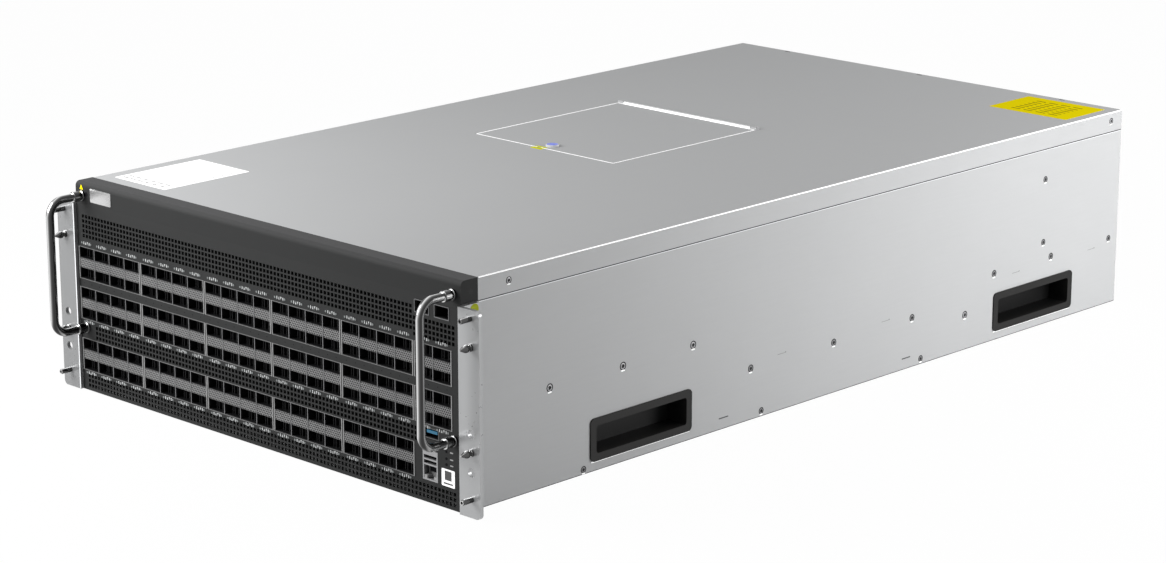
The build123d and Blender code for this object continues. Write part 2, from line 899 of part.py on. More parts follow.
# The main board is narrower where the carry pockets reach in
main_board_z = bottom_row_base - board_thickness
with BuildPart() as main_board:
    with BuildSketch(level(main_board_z)):
        with BuildLine():
            Polyline(
                (0, port_board_front_y),
                (board_half_width, port_board_front_y),
                (board_half_width, port_board_front_y + port_board_depth),
                (main_board_narrow, port_board_front_y + port_board_depth),
                (main_board_narrow, front_y + main_board_depth),
                (0, front_y + main_board_depth),
            )
            mirror(about=Plane.YZ)
        make_face()
    extrude(amount=board_thickness)
    with BuildSketch(level(bottom_row_base)):
        with Locations((0, front_y + sink_setback + sink_length / 2)):
            Rectangle(chip_side, chip_side)
    extrude(amount=chip_height)
save(main_board.part, "main_board")

# A finned sink stands on the switch chip
sink_floor = bottom_row_base + chip_height
sink_height = cover_under - sink_top_gap - sink_floor
with BuildPart() as chip_sink:
    sink_front = front_y + sink_setback
    block(
        (-sink_width / 2, sink_front, sink_floor),
        (sink_width / 2, sink_front + sink_length, sink_floor + sink_base),
    )
    with BuildSketch(level(sink_floor + sink_base)):
        with Locations((0, sink_front + sink_length / 2)):
            fin_step = (sink_width - sink_fin) / (sink_fin_count - 1)
            with GridLocations(fin_step, sink_length, sink_fin_count, 1):
                Rectangle(sink_fin, sink_length)
    extrude(amount=sink_height - sink_base)
save(chip_sink.part, "chip_heat_sink")


def port_shell(x, z, width, height, wall, depth):
    """A sheet metal shell round one small port, closed at its back."""
    with BuildPart() as shell:
        with BuildSketch(upright(front_y)):
            with Locations((x, z)):
                Rectangle(width + 2 * wall, height + 2 * wall)
        extrude(amount=-depth)
        with BuildSketch(upright(front_y)):
            with Locations((x, z)):
                Rectangle(width, height)
        extrude(amount=-(depth - wall), mode=Mode.SUBTRACT)
    return shell.part


sfp_shells = [
    port_shell(x, sfp_z, sfp_width, sfp_height, sfp_wall, sfp_depth) for x in (sfp_left_x, sfp_right_x)
]
sfp_board_z = sfp_z - sfp_height / 2 - sfp_wall - board_thickness
with BuildPart() as sfp_board:
    block(
        (sfp_left_x - sfp_width, port_board_front_y, sfp_board_z),
        (board_half_width, port_board_front_y + sfp_depth, sfp_board_z + board_thickness),
    )
    with BuildSketch(level(top_row_base + row_height)):
        with Locations(
            (sfp_left_x - sfp_width / 2, port_board_front_y + sfp_depth / 2),
            (sfp_right_x, port_board_front_y + sfp_depth / 2),
        ):
            RegularPolygon(spacer_radius, 6)
    extrude(amount=sfp_board_z - top_row_base - row_height)
save(Compound(children=sfp_shells + [sfp_board.part]), "sfp_cages")

# The service port has a flat tongue inside its shell
usb_tongue = 2
with BuildPart() as usb_insert:
    block(
        (usb_x - usb_width / 2 + usb_tongue, front_y + usb_wall * 2, usb_z),
        (usb_x + usb_width / 2 - usb_tongue, front_y + usb_depth - usb_wall, usb_z + usb_tongue),
    )
usb_shell = port_shell(usb_x, usb_z, usb_width, usb_height, usb_wall, usb_depth)
save(Compound(children=[usb_shell, usb_insert.part]), "usb_port")

# One block stacks two flat slots over a network jack
with BuildPart() as console_block:
    with BuildSketch(upright(front_y)):
        with Locations((console_x, console_z)):
            Rectangle(console_width, console_height)
    extrude(amount=-console_depth)
    jack_z = console_z - console_height / 2 + console_wall + console_jack_height / 2
    slot_step = console_slot_height + console_wall
    first_slot_z = jack_z + console_jack_height / 2 + console_wall + console_slot_height / 2
    with BuildSketch(upright(front_y)):
        with Locations((console_x, jack_z)):
            Rectangle(console_width - 2 * console_wall, console_jack_height)
        with Locations((console_x, first_slot_z), (console_x, first_slot_z + slot_step)):
            Rectangle(console_width - 2 * console_wall, console_slot_height)
    extrude(amount=-(console_depth - console_wall), mode=Mode.SUBTRACT)
save(console_block.part, "console_port")

# The control card sits on a bracket under the access door
bracket_left = door_centre_x - bracket_width / 2
bracket_right = door_centre_x + bracket_width / 2
bracket_front_y = front_y + bracket_setback
card_z = sheet + bracket_height + card_lift
card_top = card_z + card_thickness
card_middle_y = bracket_front_y + bracket_length / 2
with BuildPart() as card_bracket:
    with BuildSketch(upright(bracket_front_y)):
        with BuildLine():
            Polyline(
                (bracket_left - bracket_foot, sheet),
                (bracket_left + sheet, sheet),
                (bracket_left + sheet, sheet + bracket_height - sheet),
                (bracket_right - sheet, sheet + bracket_height - sheet),
                (bracket_right - sheet, sheet),
                (bracket_right + bracket_foot, sheet),
                (bracket_right + bracket_foot, sheet + sheet),
                (bracket_right, sheet + sheet),
                (bracket_right, sheet + bracket_height),
                (bracket_left, sheet + bracket_height),
                (bracket_left, sheet + sheet),
                (bracket_left - bracket_foot, sheet + sheet),
                close=True,
            )
        make_face()
    extrude(amount=-bracket_length)
    with BuildSketch(level(sheet + bracket_height)):
        with Locations((door_centre_x, card_middle_y)):
            with GridLocations(bracket_width - 3 * card_margin, bracket_length - 3 * card_margin, 2, 2):
                RegularPolygon(standoff_radius, 6)
    extrude(amount=card_lift)
save(card_bracket.part, "card_bracket")

with BuildPart() as control_card:
    block(
        (bracket_left + card_margin, bracket_front_y + card_margin, card_z),
        (bracket_right - card_margin, bracket_front_y + bracket_length - card_margin, card_top),
    )
    card_sink_x = door_centre_x - card_sink_side / 2 - card_margin
    block(
        (card_sink_x - card_sink_side / 2, card_middle_y - card_sink_side / 2, card_top),
        (
            card_sink_x + card_sink_side / 2,
            card_middle_y + card_sink_side / 2,
            card_top + card_sink_height / 3,
        ),
    )
    with BuildSketch(level(card_top + card_sink_height / 3)):
        with Locations((card_sink_x, card_middle_y)):
            with GridLocations(card_sink_side / 8, card_sink_side, 8, 1):
                Rectangle(sink_fin, card_sink_side)
    extrude(amount=card_sink_height * 2 / 3)
    memory_x = door_centre_x + bracket_width / 4
    with BuildSketch(level(card_top)):
        with Locations((memory_x, card_middle_y)):
            with GridLocations(memory_pitch, memory_length, 2, 1):
                Rectangle(memory_thickness, memory_length)
    extrude(amount=memory_height)
save(control_card.part, "control_card")


def fan_bay_left(number):
    """The left side of one of the fan bays, counted from the left end."""
    if number < fan_bay_count:
        return -upper_wall_inside + number * (fan_bay_width + sheet)
    return psu_column_half + (number - fan_bay_count) * (fan_bay_width + sheet)


def psu_floor(number):
    """The height of the shelf that one supply stands on, counted from below."""
    return bay_floor + number * psu_pitch


# The rear sheet has one opening for each module
bay_middle_z = (bay_floor + bay_ceiling) / 2
fan_middles = [fan_bay_left(number) + fan_bay_width / 2 for number in range(2 * fan_bay_count)]
psu_middles = [(0, psu_floor(number) + psu_height / 2 + bay_slack) for number in range(psu_count)]
with BuildPart() as rear_frame:
    block((-upper_wall_inside, rear_plate_y, sheet), (upper_wall_inside, rear_y, cover_under))
    with BuildSketch(upright(rear_plate_y)):
        with Locations(*[(x, bay_middle_z) for x in fan_middles]):
            Rectangle(fan_bay_width - 2 * rear_border, bay_height)
        with Locations(*psu_middles):
            Rectangle(psu_width + 2 * bay_slack, psu_height + 2 * bay_slack)
    extrude(amount=-sheet, mode=Mode.SUBTRACT)
save(rear_frame.part, "rear_frame")

# Upright walls between the bays, and shelves for the power supplies
with BuildPart() as bay_walls:
    with BuildSketch(level(sheet)):
        column_wall_x = psu_column_half - sheet / 2
        column_middle_y = (psu_front_y + rear_plate_y) / 2
        with Locations((-column_wall_x, column_middle_y), (column_wall_x, column_middle_y)):
            Rectangle(sheet, rear_plate_y - psu_front_y)
        for number in range(1, fan_bay_count):
            wall_x = psu_column_half + number * fan_bay_width + (number - 1 / 2) * sheet
            with Locations(*[(side * wall_x, rear_plate_y - fan_depth / 2) for side in (-1, 1)]):
                Rectangle(sheet, fan_depth)
    extrude(amount=cover_under - sheet)
    with BuildSketch(upright(psu_front_y)):
        with Locations(*[(0, psu_floor(number) - psu_shelf / 2) for number in range(psu_count)]):
            Rectangle(2 * psu_column_half, psu_shelf)
    extrude(amount=-(rear_plate_y - psu_front_y))
save(bay_walls.part, "bay_walls")

# The board that the power supplies plug into, with one socket for each
power_board_y = psu_front_y - mating_gap - socket_depth
with BuildPart() as power_board:
    block(
        (-psu_column_half, power_board_y - rear_board_thickness, sheet),
        (psu_column_half, power_board_y, cover_under - sheet),
    )
    with BuildSketch(upright(power_board_y)):
        with Locations(*psu_middles):
            Rectangle(socket_width, socket_height)
    extrude(amount=-socket_depth)
    with BuildSketch(upright(power_board_y + sheet)):
        with Locations(*psu_middles):
            Rectangle(plug_width + 2 * plug_gap, plug_thickness + 2 * plug_gap)
    extrude(amount=-socket_depth, mode=Mode.SUBTRACT)
save(power_board.part, "power_board")

# Two low boards that the fan modules plug into
fan_board_y = rear_y - fan_depth - mating_gap - socket_depth
fan_socket_z = bay_floor + fan_board_height / 2
fan_sockets = [(x, fan_socket_z) for x in fan_middles]
with BuildPart() as fan_boards:
    for side in (-1, 1):
        inner = side * (psu_column_half + edge_gap)
        outer = side * (upper_wall_inside - edge_gap)
        block(
            (min(inner, outer), fan_board_y - rear_board_thickness, sheet),
            (max(inner, outer), fan_board_y, sheet + fan_board_height),
        )
    with BuildSketch(upright(fan_board_y)):
        with Locations(*fan_sockets):
            Rectangle(socket_width, socket_height)
    extrude(amount=-socket_depth)
    with BuildSketch(upright(fan_board_y + sheet)):
        with Locations(*fan_sockets):
            Rectangle(plug_width + 2 * plug_gap, plug_thickness + 2 * plug_gap)
    extrude(amount=-socket_depth, mode=Mode.SUBTRACT)
save(fan_boards.part, "fan_boards")


def strap_outline():
    """A bent pull seen along its width, half of a rounded ring, in the sketch that is being made."""
    RectangleRounded(pull_span, 2 * pull_reach, pull_bend)
    RectangleRounded(
        pull_span - 2 * pull_thickness,
        2 * (pull_reach - pull_thickness),
        pull_bend - pull_thickness,
        mode=Mode.SUBTRACT,
    )
    with Locations((0, -pull_reach)):
        Rectangle(pull_span + pull_reach, 2 * pull_reach, mode=Mode.SUBTRACT)


# One fan module: a housing with two bored ducts, a slotted face, stators and a pull
fan_box_y = rear_y - fan_depth
fan_face_y = rear_y + fan_face
fan_row_lift = fan_stack_height / (2 * fan_row_count)
fan_rows = (bay_middle_z - fan_row_lift, bay_middle_z + fan_row_lift)
fan_centres = [(0, z) for z in fan_rows]
duct_radius = fan_radius + fan_tip_gap
slot_pitch = 2 * duct_radius / fan_slot_count
latch_axis_y = fan_face_y + latch_stand
latch_fork_width = latch_width + 2 * latch_ear + 4 * edge_gap
fan_latch_z = bay_middle_z - latch_height / 2
with BuildPart() as fan_housing:
    block(
        (-fan_box_width / 2, fan_box_y, bay_middle_z - fan_stack_height / 2),
        (fan_box_width / 2, rear_y, bay_middle_z + fan_stack_height / 2),
    )
    with BuildSketch(upright(fan_box_y)):
        with Locations(*fan_centres):
            RegularPolygon(duct_radius, duct_sides)
    extrude(amount=-fan_depth, mode=Mode.SUBTRACT)
    with BuildSketch(upright(fan_box_y)):
        with Locations(*fan_centres):
            Rectangle(2 * duct_radius + sheet, fan_strut)
            Rectangle(fan_strut, 2 * duct_radius + sheet)
    extrude(amount=-fan_stator_depth / 2)
    with BuildSketch(upright(fan_box_y)):
        with Locations(*fan_centres):
            RegularPolygon(fan_hub_radius, 12)
    extrude(amount=-fan_stator_depth)
    with BuildSketch(upright(fan_box_y + fan_stator_depth)):
        with Locations(*fan_centres):
            RegularPolygon(fan_shaft_radius + contact_gap, bore_sides, major_radius=False)
    extrude(amount=fan_stator_depth - sheet, mode=Mode.SUBTRACT)
    with BuildSketch(upright(rear_y)):
        with Locations((0, bay_middle_z)):
            Rectangle(fan_bay_width - 2 * fan_face_lap, bay_height + 2 * fan_face_lap)
        for row_z in fan_rows:
            for slot in range(fan_slot_count):
                slot_lift = (slot + 1 / 2 - fan_slot_count / 2) * slot_pitch
                slot_width = 2 * (duct_radius**2 - slot_lift**2) ** 0.5 - fan_slot_web
                with Locations((0, row_z + slot_lift)):
                    Rectangle(slot_width, slot_pitch - fan_slot_web, mode=Mode.SUBTRACT)
    extrude(amount=-fan_face)
    with BuildSketch(upright(fan_box_y)):
        with Locations((0, fan_socket_z)):
            Rectangle(plug_width, plug_thickness)
    extrude(amount=plug_length)
    with BuildSketch(Plane((fan_pull_x, fan_face_y, bay_middle_z - pull_width / 2))):
        strap_outline()
    extrude(amount=pull_width)
    fork_places = [
        (fan_latch_x + side * (latch_fork_width - latch_ear) / 2, fan_latch_z) for side in (-1, 1)
    ]
    with BuildSketch(upright(fan_face_y)):
        with Locations(*fork_places):
            Rectangle(latch_ear, 2 * latch_boss_radius)
    extrude(amount=-(latch_stand + latch_boss_radius))
    with BuildSketch(sideways(fan_latch_x - latch_fork_width / 2)):
        with Locations((latch_axis_y, fan_latch_z)):
            RegularPolygon(latch_pin_radius + contact_gap, bore_sides, major_radius=False)
    extrude(amount=latch_fork_width, mode=Mode.SUBTRACT)

# One rotor, with its shaft in the stator behind it
rotor_y = fan_box_y + fan_stator_depth + edge_gap
with BuildPart() as fan_rotor:
    with BuildSketch(upright(rotor_y)):
        RegularPolygon(fan_hub_radius, 14)
    extrude(amount=-fan_rotor_depth)
    with BuildSketch(upright(rotor_y)):
        Circle(fan_shaft_radius)
    extrude(amount=fan_shaft_length)
    blade_reach = fan_radius - fan_hub_radius * blade_root_share
    blade_middle = (fan_radius + fan_hub_radius * blade_root_share) / 2
    blade_centre_y = rotor_y + fan_rotor_depth / 2
    with Locations(upright(blade_centre_y).location):
        with PolarLocations(blade_middle, fan_blades):
            Box(blade_reach, fan_blade_chord, fan_blade_thickness, rotation=(fan_blade_angle, 0, 0))


def thumb_latch(x, axis_y, pivot_z, height):
    """A thumb lever on two stub pins, standing off the face of its module."""
    with BuildPart() as latch:
        with BuildSketch(sideways(x - latch_width / 2)):
            with Locations((axis_y, pivot_z)):
                RegularPolygon(latch_boss_radius, bore_sides)
            with Locations((axis_y, pivot_z + height / 2)):
                Rectangle(latch_thickness, height)
            with Locations((axis_y + latch_thickness / 2, pivot_z + height - latch_thickness / 2)):
                Rectangle(latch_thickness, latch_thickness)
        extrude(amount=latch_width)
        with BuildSketch(sideways(x - latch_fork_width / 2)):
            with Locations((axis_y, pivot_z)):
                Circle(latch_pin_radius)
        extrude(amount=latch_fork_width)
    return latch.part


fan_latch = thumb_latch(fan_latch_x, latch_axis_y, fan_latch_z, latch_height)
fan_names = ("outer_left", "inner_left", "inner_right", "outer_right")
for fan_name, middle_x in zip(fan_names, fan_middles):
    across = Location((middle_x, 0, 0))
    save(fan_housing.part.moved(across), "fan_housing_" + fan_name)
    save(fan_latch.moved(across), "fan_latch_" + fan_name)
    for row_name, row_z in zip(("lower", "upper"), fan_rows):
        save(
            fan_rotor.part.moved(Location((middle_x, 0, row_z))),
            "fan_rotor_" + row_name + "_" + fan_name,
        )

# One power supply: a closed case with its inlet, slots, pull and plug
psu_face_y = rear_y + psu_face
psu_latch_axis_y = psu_face_y + latch_stand
psu_latch_low = -psu_latch_height / 2
psu_vent_pitch = psu_vent_height_share * psu_height
with BuildPart() as psu_case:
    block((-psu_width / 2, psu_front_y, -psu_height / 2), (psu_width / 2, psu_face_y, psu_height / 2))
    with BuildSketch(upright(psu_face_y)):
        with Locations((inlet_x, 0)):
            Rectangle(inlet_width, inlet_height)
    extrude(amount=inlet_depth, mode=Mode.SUBTRACT)
    with BuildSketch(upright(psu_face_y - inlet_depth)):
        with Locations(
            (inlet_x, inlet_pin),
            (inlet_x - inlet_pin_pitch, -inlet_pin),
            (inlet_x + inlet_pin_pitch, -inlet_pin),
        ):
            Rectangle(inlet_pin, 2 * inlet_pin)
    extrude(amount=-inlet_pin_length)
    with BuildSketch(upright(psu_face_y)):
        with Locations((psu_vent_x, 0)):
            with GridLocations(psu_vent_width, psu_vent_pitch, 1, psu_vent_slots):
                Rectangle(psu_vent_width, psu_vent_pitch / 2)
    extrude(amount=psu_face, mode=Mode.SUBTRACT)
    with BuildSketch(upright(psu_front_y)):
        Rectangle(plug_width, plug_thickness)
    extrude(amount=plug_length)
    psu_fork_places = [
        (psu_latch_x + side * (latch_fork_width - latch_ear) / 2, psu_latch_low) for side in (-1, 1)
    ]
    with BuildSketch(upright(psu_face_y)):
        with Locations(*psu_fork_places):
            Rectangle(latch_ear, 2 * latch_boss_radius)
    extrude(amount=-(latch_stand + latch_boss_radius))
    with BuildSketch(sideways(psu_latch_x - latch_fork_width / 2)):
        with Locations((psu_latch_axis_y, psu_latch_low)):
            RegularPolygon(latch_pin_radius + contact_gap, bore_sides, major_radius=False)
    extrude(amount=latch_fork_width, mode=Mode.SUBTRACT)
    strap_corner = (psu_pull_x + psu_pull_width / 2, psu_face_y, 0)
    with BuildSketch(Plane(strap_corner, x_dir=(0, 0, 1), z_dir=(-1, 0, 0))):
        strap_outline()
    extrude(amount=psu_pull_width)
psu_latch = thumb_latch(psu_latch_x, psu_latch_axis_y, psu_latch_low, psu_latch_height)
for number, (middle_x, middle_z) in enumerate(psu_middles, start=1):
    lifted = Location((middle_x, 0, middle_z))
    save(psu_case.part.moved(lifted), f"psu_case_{number}")
    save(psu_latch.moved(lifted), f"psu_latch_{number}")
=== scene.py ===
# %% [markdown]
# This lesson dresses a rack switch whose solids were made in CAD. The solids are loaded as a fixed frame:
# they get finishes here, and the fine pieces that a picture needs are added as meshes worked out with
# numpy. Every length is written in millimetres, as on a drawing, and turned into metres in one place.

import bpy
import numpy as np
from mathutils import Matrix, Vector


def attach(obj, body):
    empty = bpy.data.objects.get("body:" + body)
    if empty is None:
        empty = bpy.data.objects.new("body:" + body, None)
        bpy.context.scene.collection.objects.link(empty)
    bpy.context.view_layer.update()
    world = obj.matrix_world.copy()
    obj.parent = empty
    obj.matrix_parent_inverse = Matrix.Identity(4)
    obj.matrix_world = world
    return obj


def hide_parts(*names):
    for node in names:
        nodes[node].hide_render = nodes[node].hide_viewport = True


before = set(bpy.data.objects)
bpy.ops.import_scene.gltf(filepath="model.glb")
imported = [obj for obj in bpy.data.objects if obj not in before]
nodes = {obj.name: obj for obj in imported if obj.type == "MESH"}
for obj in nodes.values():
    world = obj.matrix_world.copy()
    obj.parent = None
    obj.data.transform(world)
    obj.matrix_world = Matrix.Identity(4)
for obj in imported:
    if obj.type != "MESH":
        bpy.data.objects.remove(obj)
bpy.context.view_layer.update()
MM = 0.001

# %% [markdown]
# The body is a box four rack units high, with an ear on each side of its front. Fine pieces could be
# placed by measuring the loaded solids, but a few sizes repeated from the CAD source read more easily.
# The front plane lies half the depth in front of the origin, which is the middle of the underside.

# %% Main sizes
HALF_WIDTH = 220.0
FRONT = -398.0
REAR = 398.0
TOP = 172.0
SEAM = 155.0
SHEET = 1.5
EAR_FACE = FRONT - 3.0
HOLE_SPAN = 465.1
print("body", 2 * HALF_WIDTH, "wide,", REAR - FRONT, "deep and", TOP, "high")

# %% [markdown]
# The camera stands where the photographer's did. It could be moved about until the picture looks right,
# but its place and its long lens were solved from the rack's standard hole spans and the straight edges
# of the body, so nothing is fitted by eye.

# %% Camera
camera_data = bpy.data.cameras.new("photo_camera")
camera_data.lens = 100.46
camera_data.sensor_width = 36.0
camera_data.shift_x = 0.0062
camera_data.shift_y = 0.01005
camera_data.clip_end = 50.0
camera = bpy.data.objects.new("photo_camera", camera_data)
bpy.context.scene.collection.objects.link(camera)
AZIMUTH, ELEVATION, ROLL = np.radians([44.26, 15.34, -0.06])
camera.location = (1.81298, -1.91601, 0.76668)
camera.rotation_euler = (np.pi / 2 - ELEVATION, -ROLL, AZIMUTH)
bpy.context.scene.camera = camera
bpy.context.scene.view_settings.view_transform = "Standard"
print("camera at", tuple(camera.location))

# %% [markdown]
# Three helpers make nearly every piece: a flat outline that is thickened and stamped at many places, a
# profile that is turned about an axis at many places, and a round bar carried along a path. Blender's
# modifiers could do the same, but whole arrays are quick and give closed meshes whose faces look
# outwards. Each shape is its points and a list of face arrays, one for each number of corners. A facing
# says which side of the box a piece looks out of.

# %% Facings
FACING = {
    "front": ((1, 0, 0), (0, 0, 1), (0, -1, 0)),
    "right": ((0, 1, 0), (0, 0, 1), (1, 0, 0)),
    "left": ((0, -1, 0), (0, 0, 1), (-1, 0, 0)),
    "top": ((1, 0, 0), (0, 1, 0), (0, 0, 1)),
}
for facing, (across, up, out) in FACING.items():
    print(facing, "is right-handed:", np.array_equal(np.cross(across, up), out))

# %% [markdown]
# Labels, marks and plates are flat pieces with rounded corners, repeated along rows. Each copy is the
# same outline moved to a place, so all the corners come from one sum of arrays.


# %% Stamped outlines
def stamp(outline, places, facing, depth, sink=0.0):
    """A flat outline (M by 2, anticlockwise from outside) thickened by depth at each place (N by 3).
    A corner is place + u * across + v * up + h * outwards, with h at -sink and at depth."""
    across, up, out = (np.array(axis, float) for axis in FACING[facing])
    outline = np.asarray(outline, float)
    places = np.atleast_2d(np.asarray(places, float))
    flat = outline[:, :1] * across + outline[:, 1:] * up
    rings = np.stack([flat - sink * out, flat + depth * out])
    points = places[:, None, None, :] + rings[None]
    count = len(outline)
    ring = np.arange(count)
    nxt = (ring + 1) % count
    starts = np.arange(len(places))[:, None, None] * 2 * count
    sides = np.stack([ring, nxt, nxt + count, ring + count], 1) + starts
    caps = np.stack([ring[::-1], ring + count]) + starts
    return points.reshape(-1, 3), [sides.reshape(-1, 4), caps.reshape(-1, count)]


def rounded(width, height, radius=0.0, steps=4):
    """A rectangle about its middle; each corner is a quarter circle of the radius."""
    if radius <= 0:
        return np.array([(-1, -1), (1, -1), (1, 1), (-1, 1)]) * (width / 2, height / 2)
    turn = np.radians(np.linspace(0, 90, steps + 1))
    signs = np.array([(1, 1), (-1, 1), (-1, -1), (1, -1)])
    middles = signs * (width / 2 - radius, height / 2 - radius)
    angles = turn[None] + np.radians([0, 90, 180, 270])[:, None]
    ring = middles[:, None] + radius * np.stack([np.cos(angles), np.sin(angles)], 2)
    return ring.reshape(-1, 2)


def disc(radius, sides=20):
    """A many-sided circle about its middle."""
    turn = np.linspace(0, 2 * np.pi, sides, endpoint=False)
    return radius * np.stack([np.cos(turn), np.sin(turn)], 1)


print("a rounded outline has", len(rounded(10, 6, 1)), "points, a disc", len(disc(1)))

# %% [markdown]
# Screws, pins and ferrules are turned on a lathe, and the mesh is made the same way: a profile of radius
# and height goes round the axis.


# %% Turned profiles
def turned(profile, places, facing, sides=24):
    """A profile of (radius, height) turned about the outward axis at each place, closed at both ends.
    A corner is place + r * (cos t * across + sin t * up) + h * outwards, for t in equal steps."""
    across, up, out = (np.array(axis, float) for axis in FACING[facing])
    profile = np.asarray(profile, float)
    places = np.atleast_2d(np.asarray(places, float))
    angle = np.linspace(0, 2 * np.pi, sides, endpoint=False)
    flat = np.cos(angle)[:, None] * across + np.sin(angle)[:, None] * up
    rings = profile[:, :1, None] * flat[None] + profile[:, 1:, None] * out
    points = places[:, None, None, :] + rings[None]
    rows = len(profile)
    ring = np.arange(sides)
    nxt = (ring + 1) % sides
    one = np.stack([ring, nxt, nxt + sides, ring + sides], 1)
    starts = np.arange(len(places))[:, None, None] * rows * sides
    band = np.concatenate([one + row * sides for row in range(rows - 1)]) + starts
    caps = np.stack([ring[::-1], ring + (rows - 1) * sides]) + starts
    return points.reshape(-1, 3), [band.reshape(-1, 4), caps.reshape(-1, sides)]


print("a turned cylinder has", len(turned([(1, 0), (1, 2)], [(0, 0, 0)], "top")[0]), "points")

# %% [markdown]
# Handles and hinge barrels are round bars. A Blender curve with a bevel makes such a bar too, but here
# the number of faces is chosen exactly, and both ends are closed.


# %% Bars along a path
def bar(path, radius, sides=32, side=(1, 0, 0)):
    """A round bar, closed at both ends. At each path point lies the circle point + radius *
    (cos t * side + sin t * other), where side is square to the path and other to both."""
    path = np.asarray(path, float)
    along = np.gradient(path, axis=0)
    along /= np.linalg.norm(along, axis=1, keepdims=True)
    side = np.tile(np.array(side, float), (len(path), 1))
    other = np.cross(along, side)
    angle = np.linspace(0, 2 * np.pi, sides, endpoint=False)[None, :, None]
    circle = np.cos(angle) * side[:, None] + np.sin(angle) * other[:, None]
    points = path[:, None] + radius * circle
    ring = np.arange(sides)
    nxt = (ring + 1) % sides
    one = np.stack([ring, nxt, nxt + sides, ring + sides], 1)
    band = np.concatenate([one + row * sides for row in range(len(path) - 1)])
    caps = np.stack([ring[::-1], ring + (len(path) - 1) * sides])
    return points.reshape(-1, 3), [band, caps]


print("a short bar has", len(bar([(0, 0, 0), (0, 5, 0)], 1)[0]), "points")

# %% [markdown]
# A piece can be several of these shapes joined. The maker below puts them into one mesh in metres, lets it
# ride on its CAD body, and hides the CAD nodes it stands for.


# %% Piece maker
def make_piece(name, shapes, look, slot, body="chassis", smooth=False, stands_for=()):
    """Join shapes (points in millimetres, face arrays) into one object at the origin."""
    points = np.concatenate([shape_points for shape_points, _ in shapes])
    faces, start = [], 0
    for shape_points, face_arrays in shapes:
        for corners in face_arrays:
            faces += (corners + start).tolist()
        start += len(shape_points)
    mesh = bpy.data.meshes.new(name)
    mesh.from_pydata((points * MM).tolist(), [], faces)
    mesh.materials.append(look)
    if smooth:
        mesh.shade_smooth()
        mesh.set_sharp_from_angle(angle=np.radians(35))
    piece = bpy.data.objects.new(name, mesh)
    bpy.context.scene.collection.objects.link(piece)
    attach(piece, body)
    if stands_for:
        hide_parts(*stands_for)
    print(name, len(mesh.polygons), "faces")
    return piece


def plates(name, size, places, facing, depth, look, slot="cage_metal", sink=0.0, **options):
    """A piece made of thin plates that all have one size: width, height and corner radius."""
    shape = stamp(rounded(*size), places, facing, depth, sink)
    return make_piece(name, [shape], look, slot, **options)


print("pieces can be made")

# %% [markdown]
# An effect that several finishes share is a node group: it is built once, its sockets have names, and each
# material places it with its own values. Copying the nodes into each material would look the same, but
# a change would then have to be made in all of them.


# %% Group helpers
def start_group(name, inputs, outputs):
    """An empty shader node group with named sockets, and its input and output nodes."""
    group = bpy.data.node_groups.new(name, "ShaderNodeTree")
    new_socket = group.interface.new_socket
    for label, kind, value in inputs:
        new_socket(label, in_out="INPUT", socket_type="NodeSocket" + kind).default_value = value
    for label, kind in outputs:
        new_socket(label, in_out="OUTPUT", socket_type="NodeSocket" + kind)
    return group, group.nodes.new("NodeGroupInput"), group.nodes.new("NodeGroupOutput")


def place_group(tree, group, values):
    """The group as a node of a material, with its own values."""
    node = tree.nodes.new("ShaderNodeGroup")
    node.node_tree = group
    for label, value in values.items():
        node.inputs[label].default_value = value
    return node


def maths(tree, kind, operation, *values):
    """A Math or VectorMath node; a value that is a socket is linked, any other is written in."""
    node = tree.nodes.new("ShaderNode" + kind)
    node.operation = operation
    for socket, value in zip(node.inputs, values):
        if isinstance(value, bpy.types.NodeSocket):
            tree.links.new(value, socket)
        else:
            socket.default_value = value
    return node


print("node groups can be made")

# %% [markdown]
# Real sheet, paint and plastic vary a little in tone and gloss, and have a fine grain. All the finishes
# share this effect. It stretches a noise along one axis, so rolled steel gets long streaks and moulded
# plastic gets an even texture; an image would repeat, and would need the surface unwrapped.


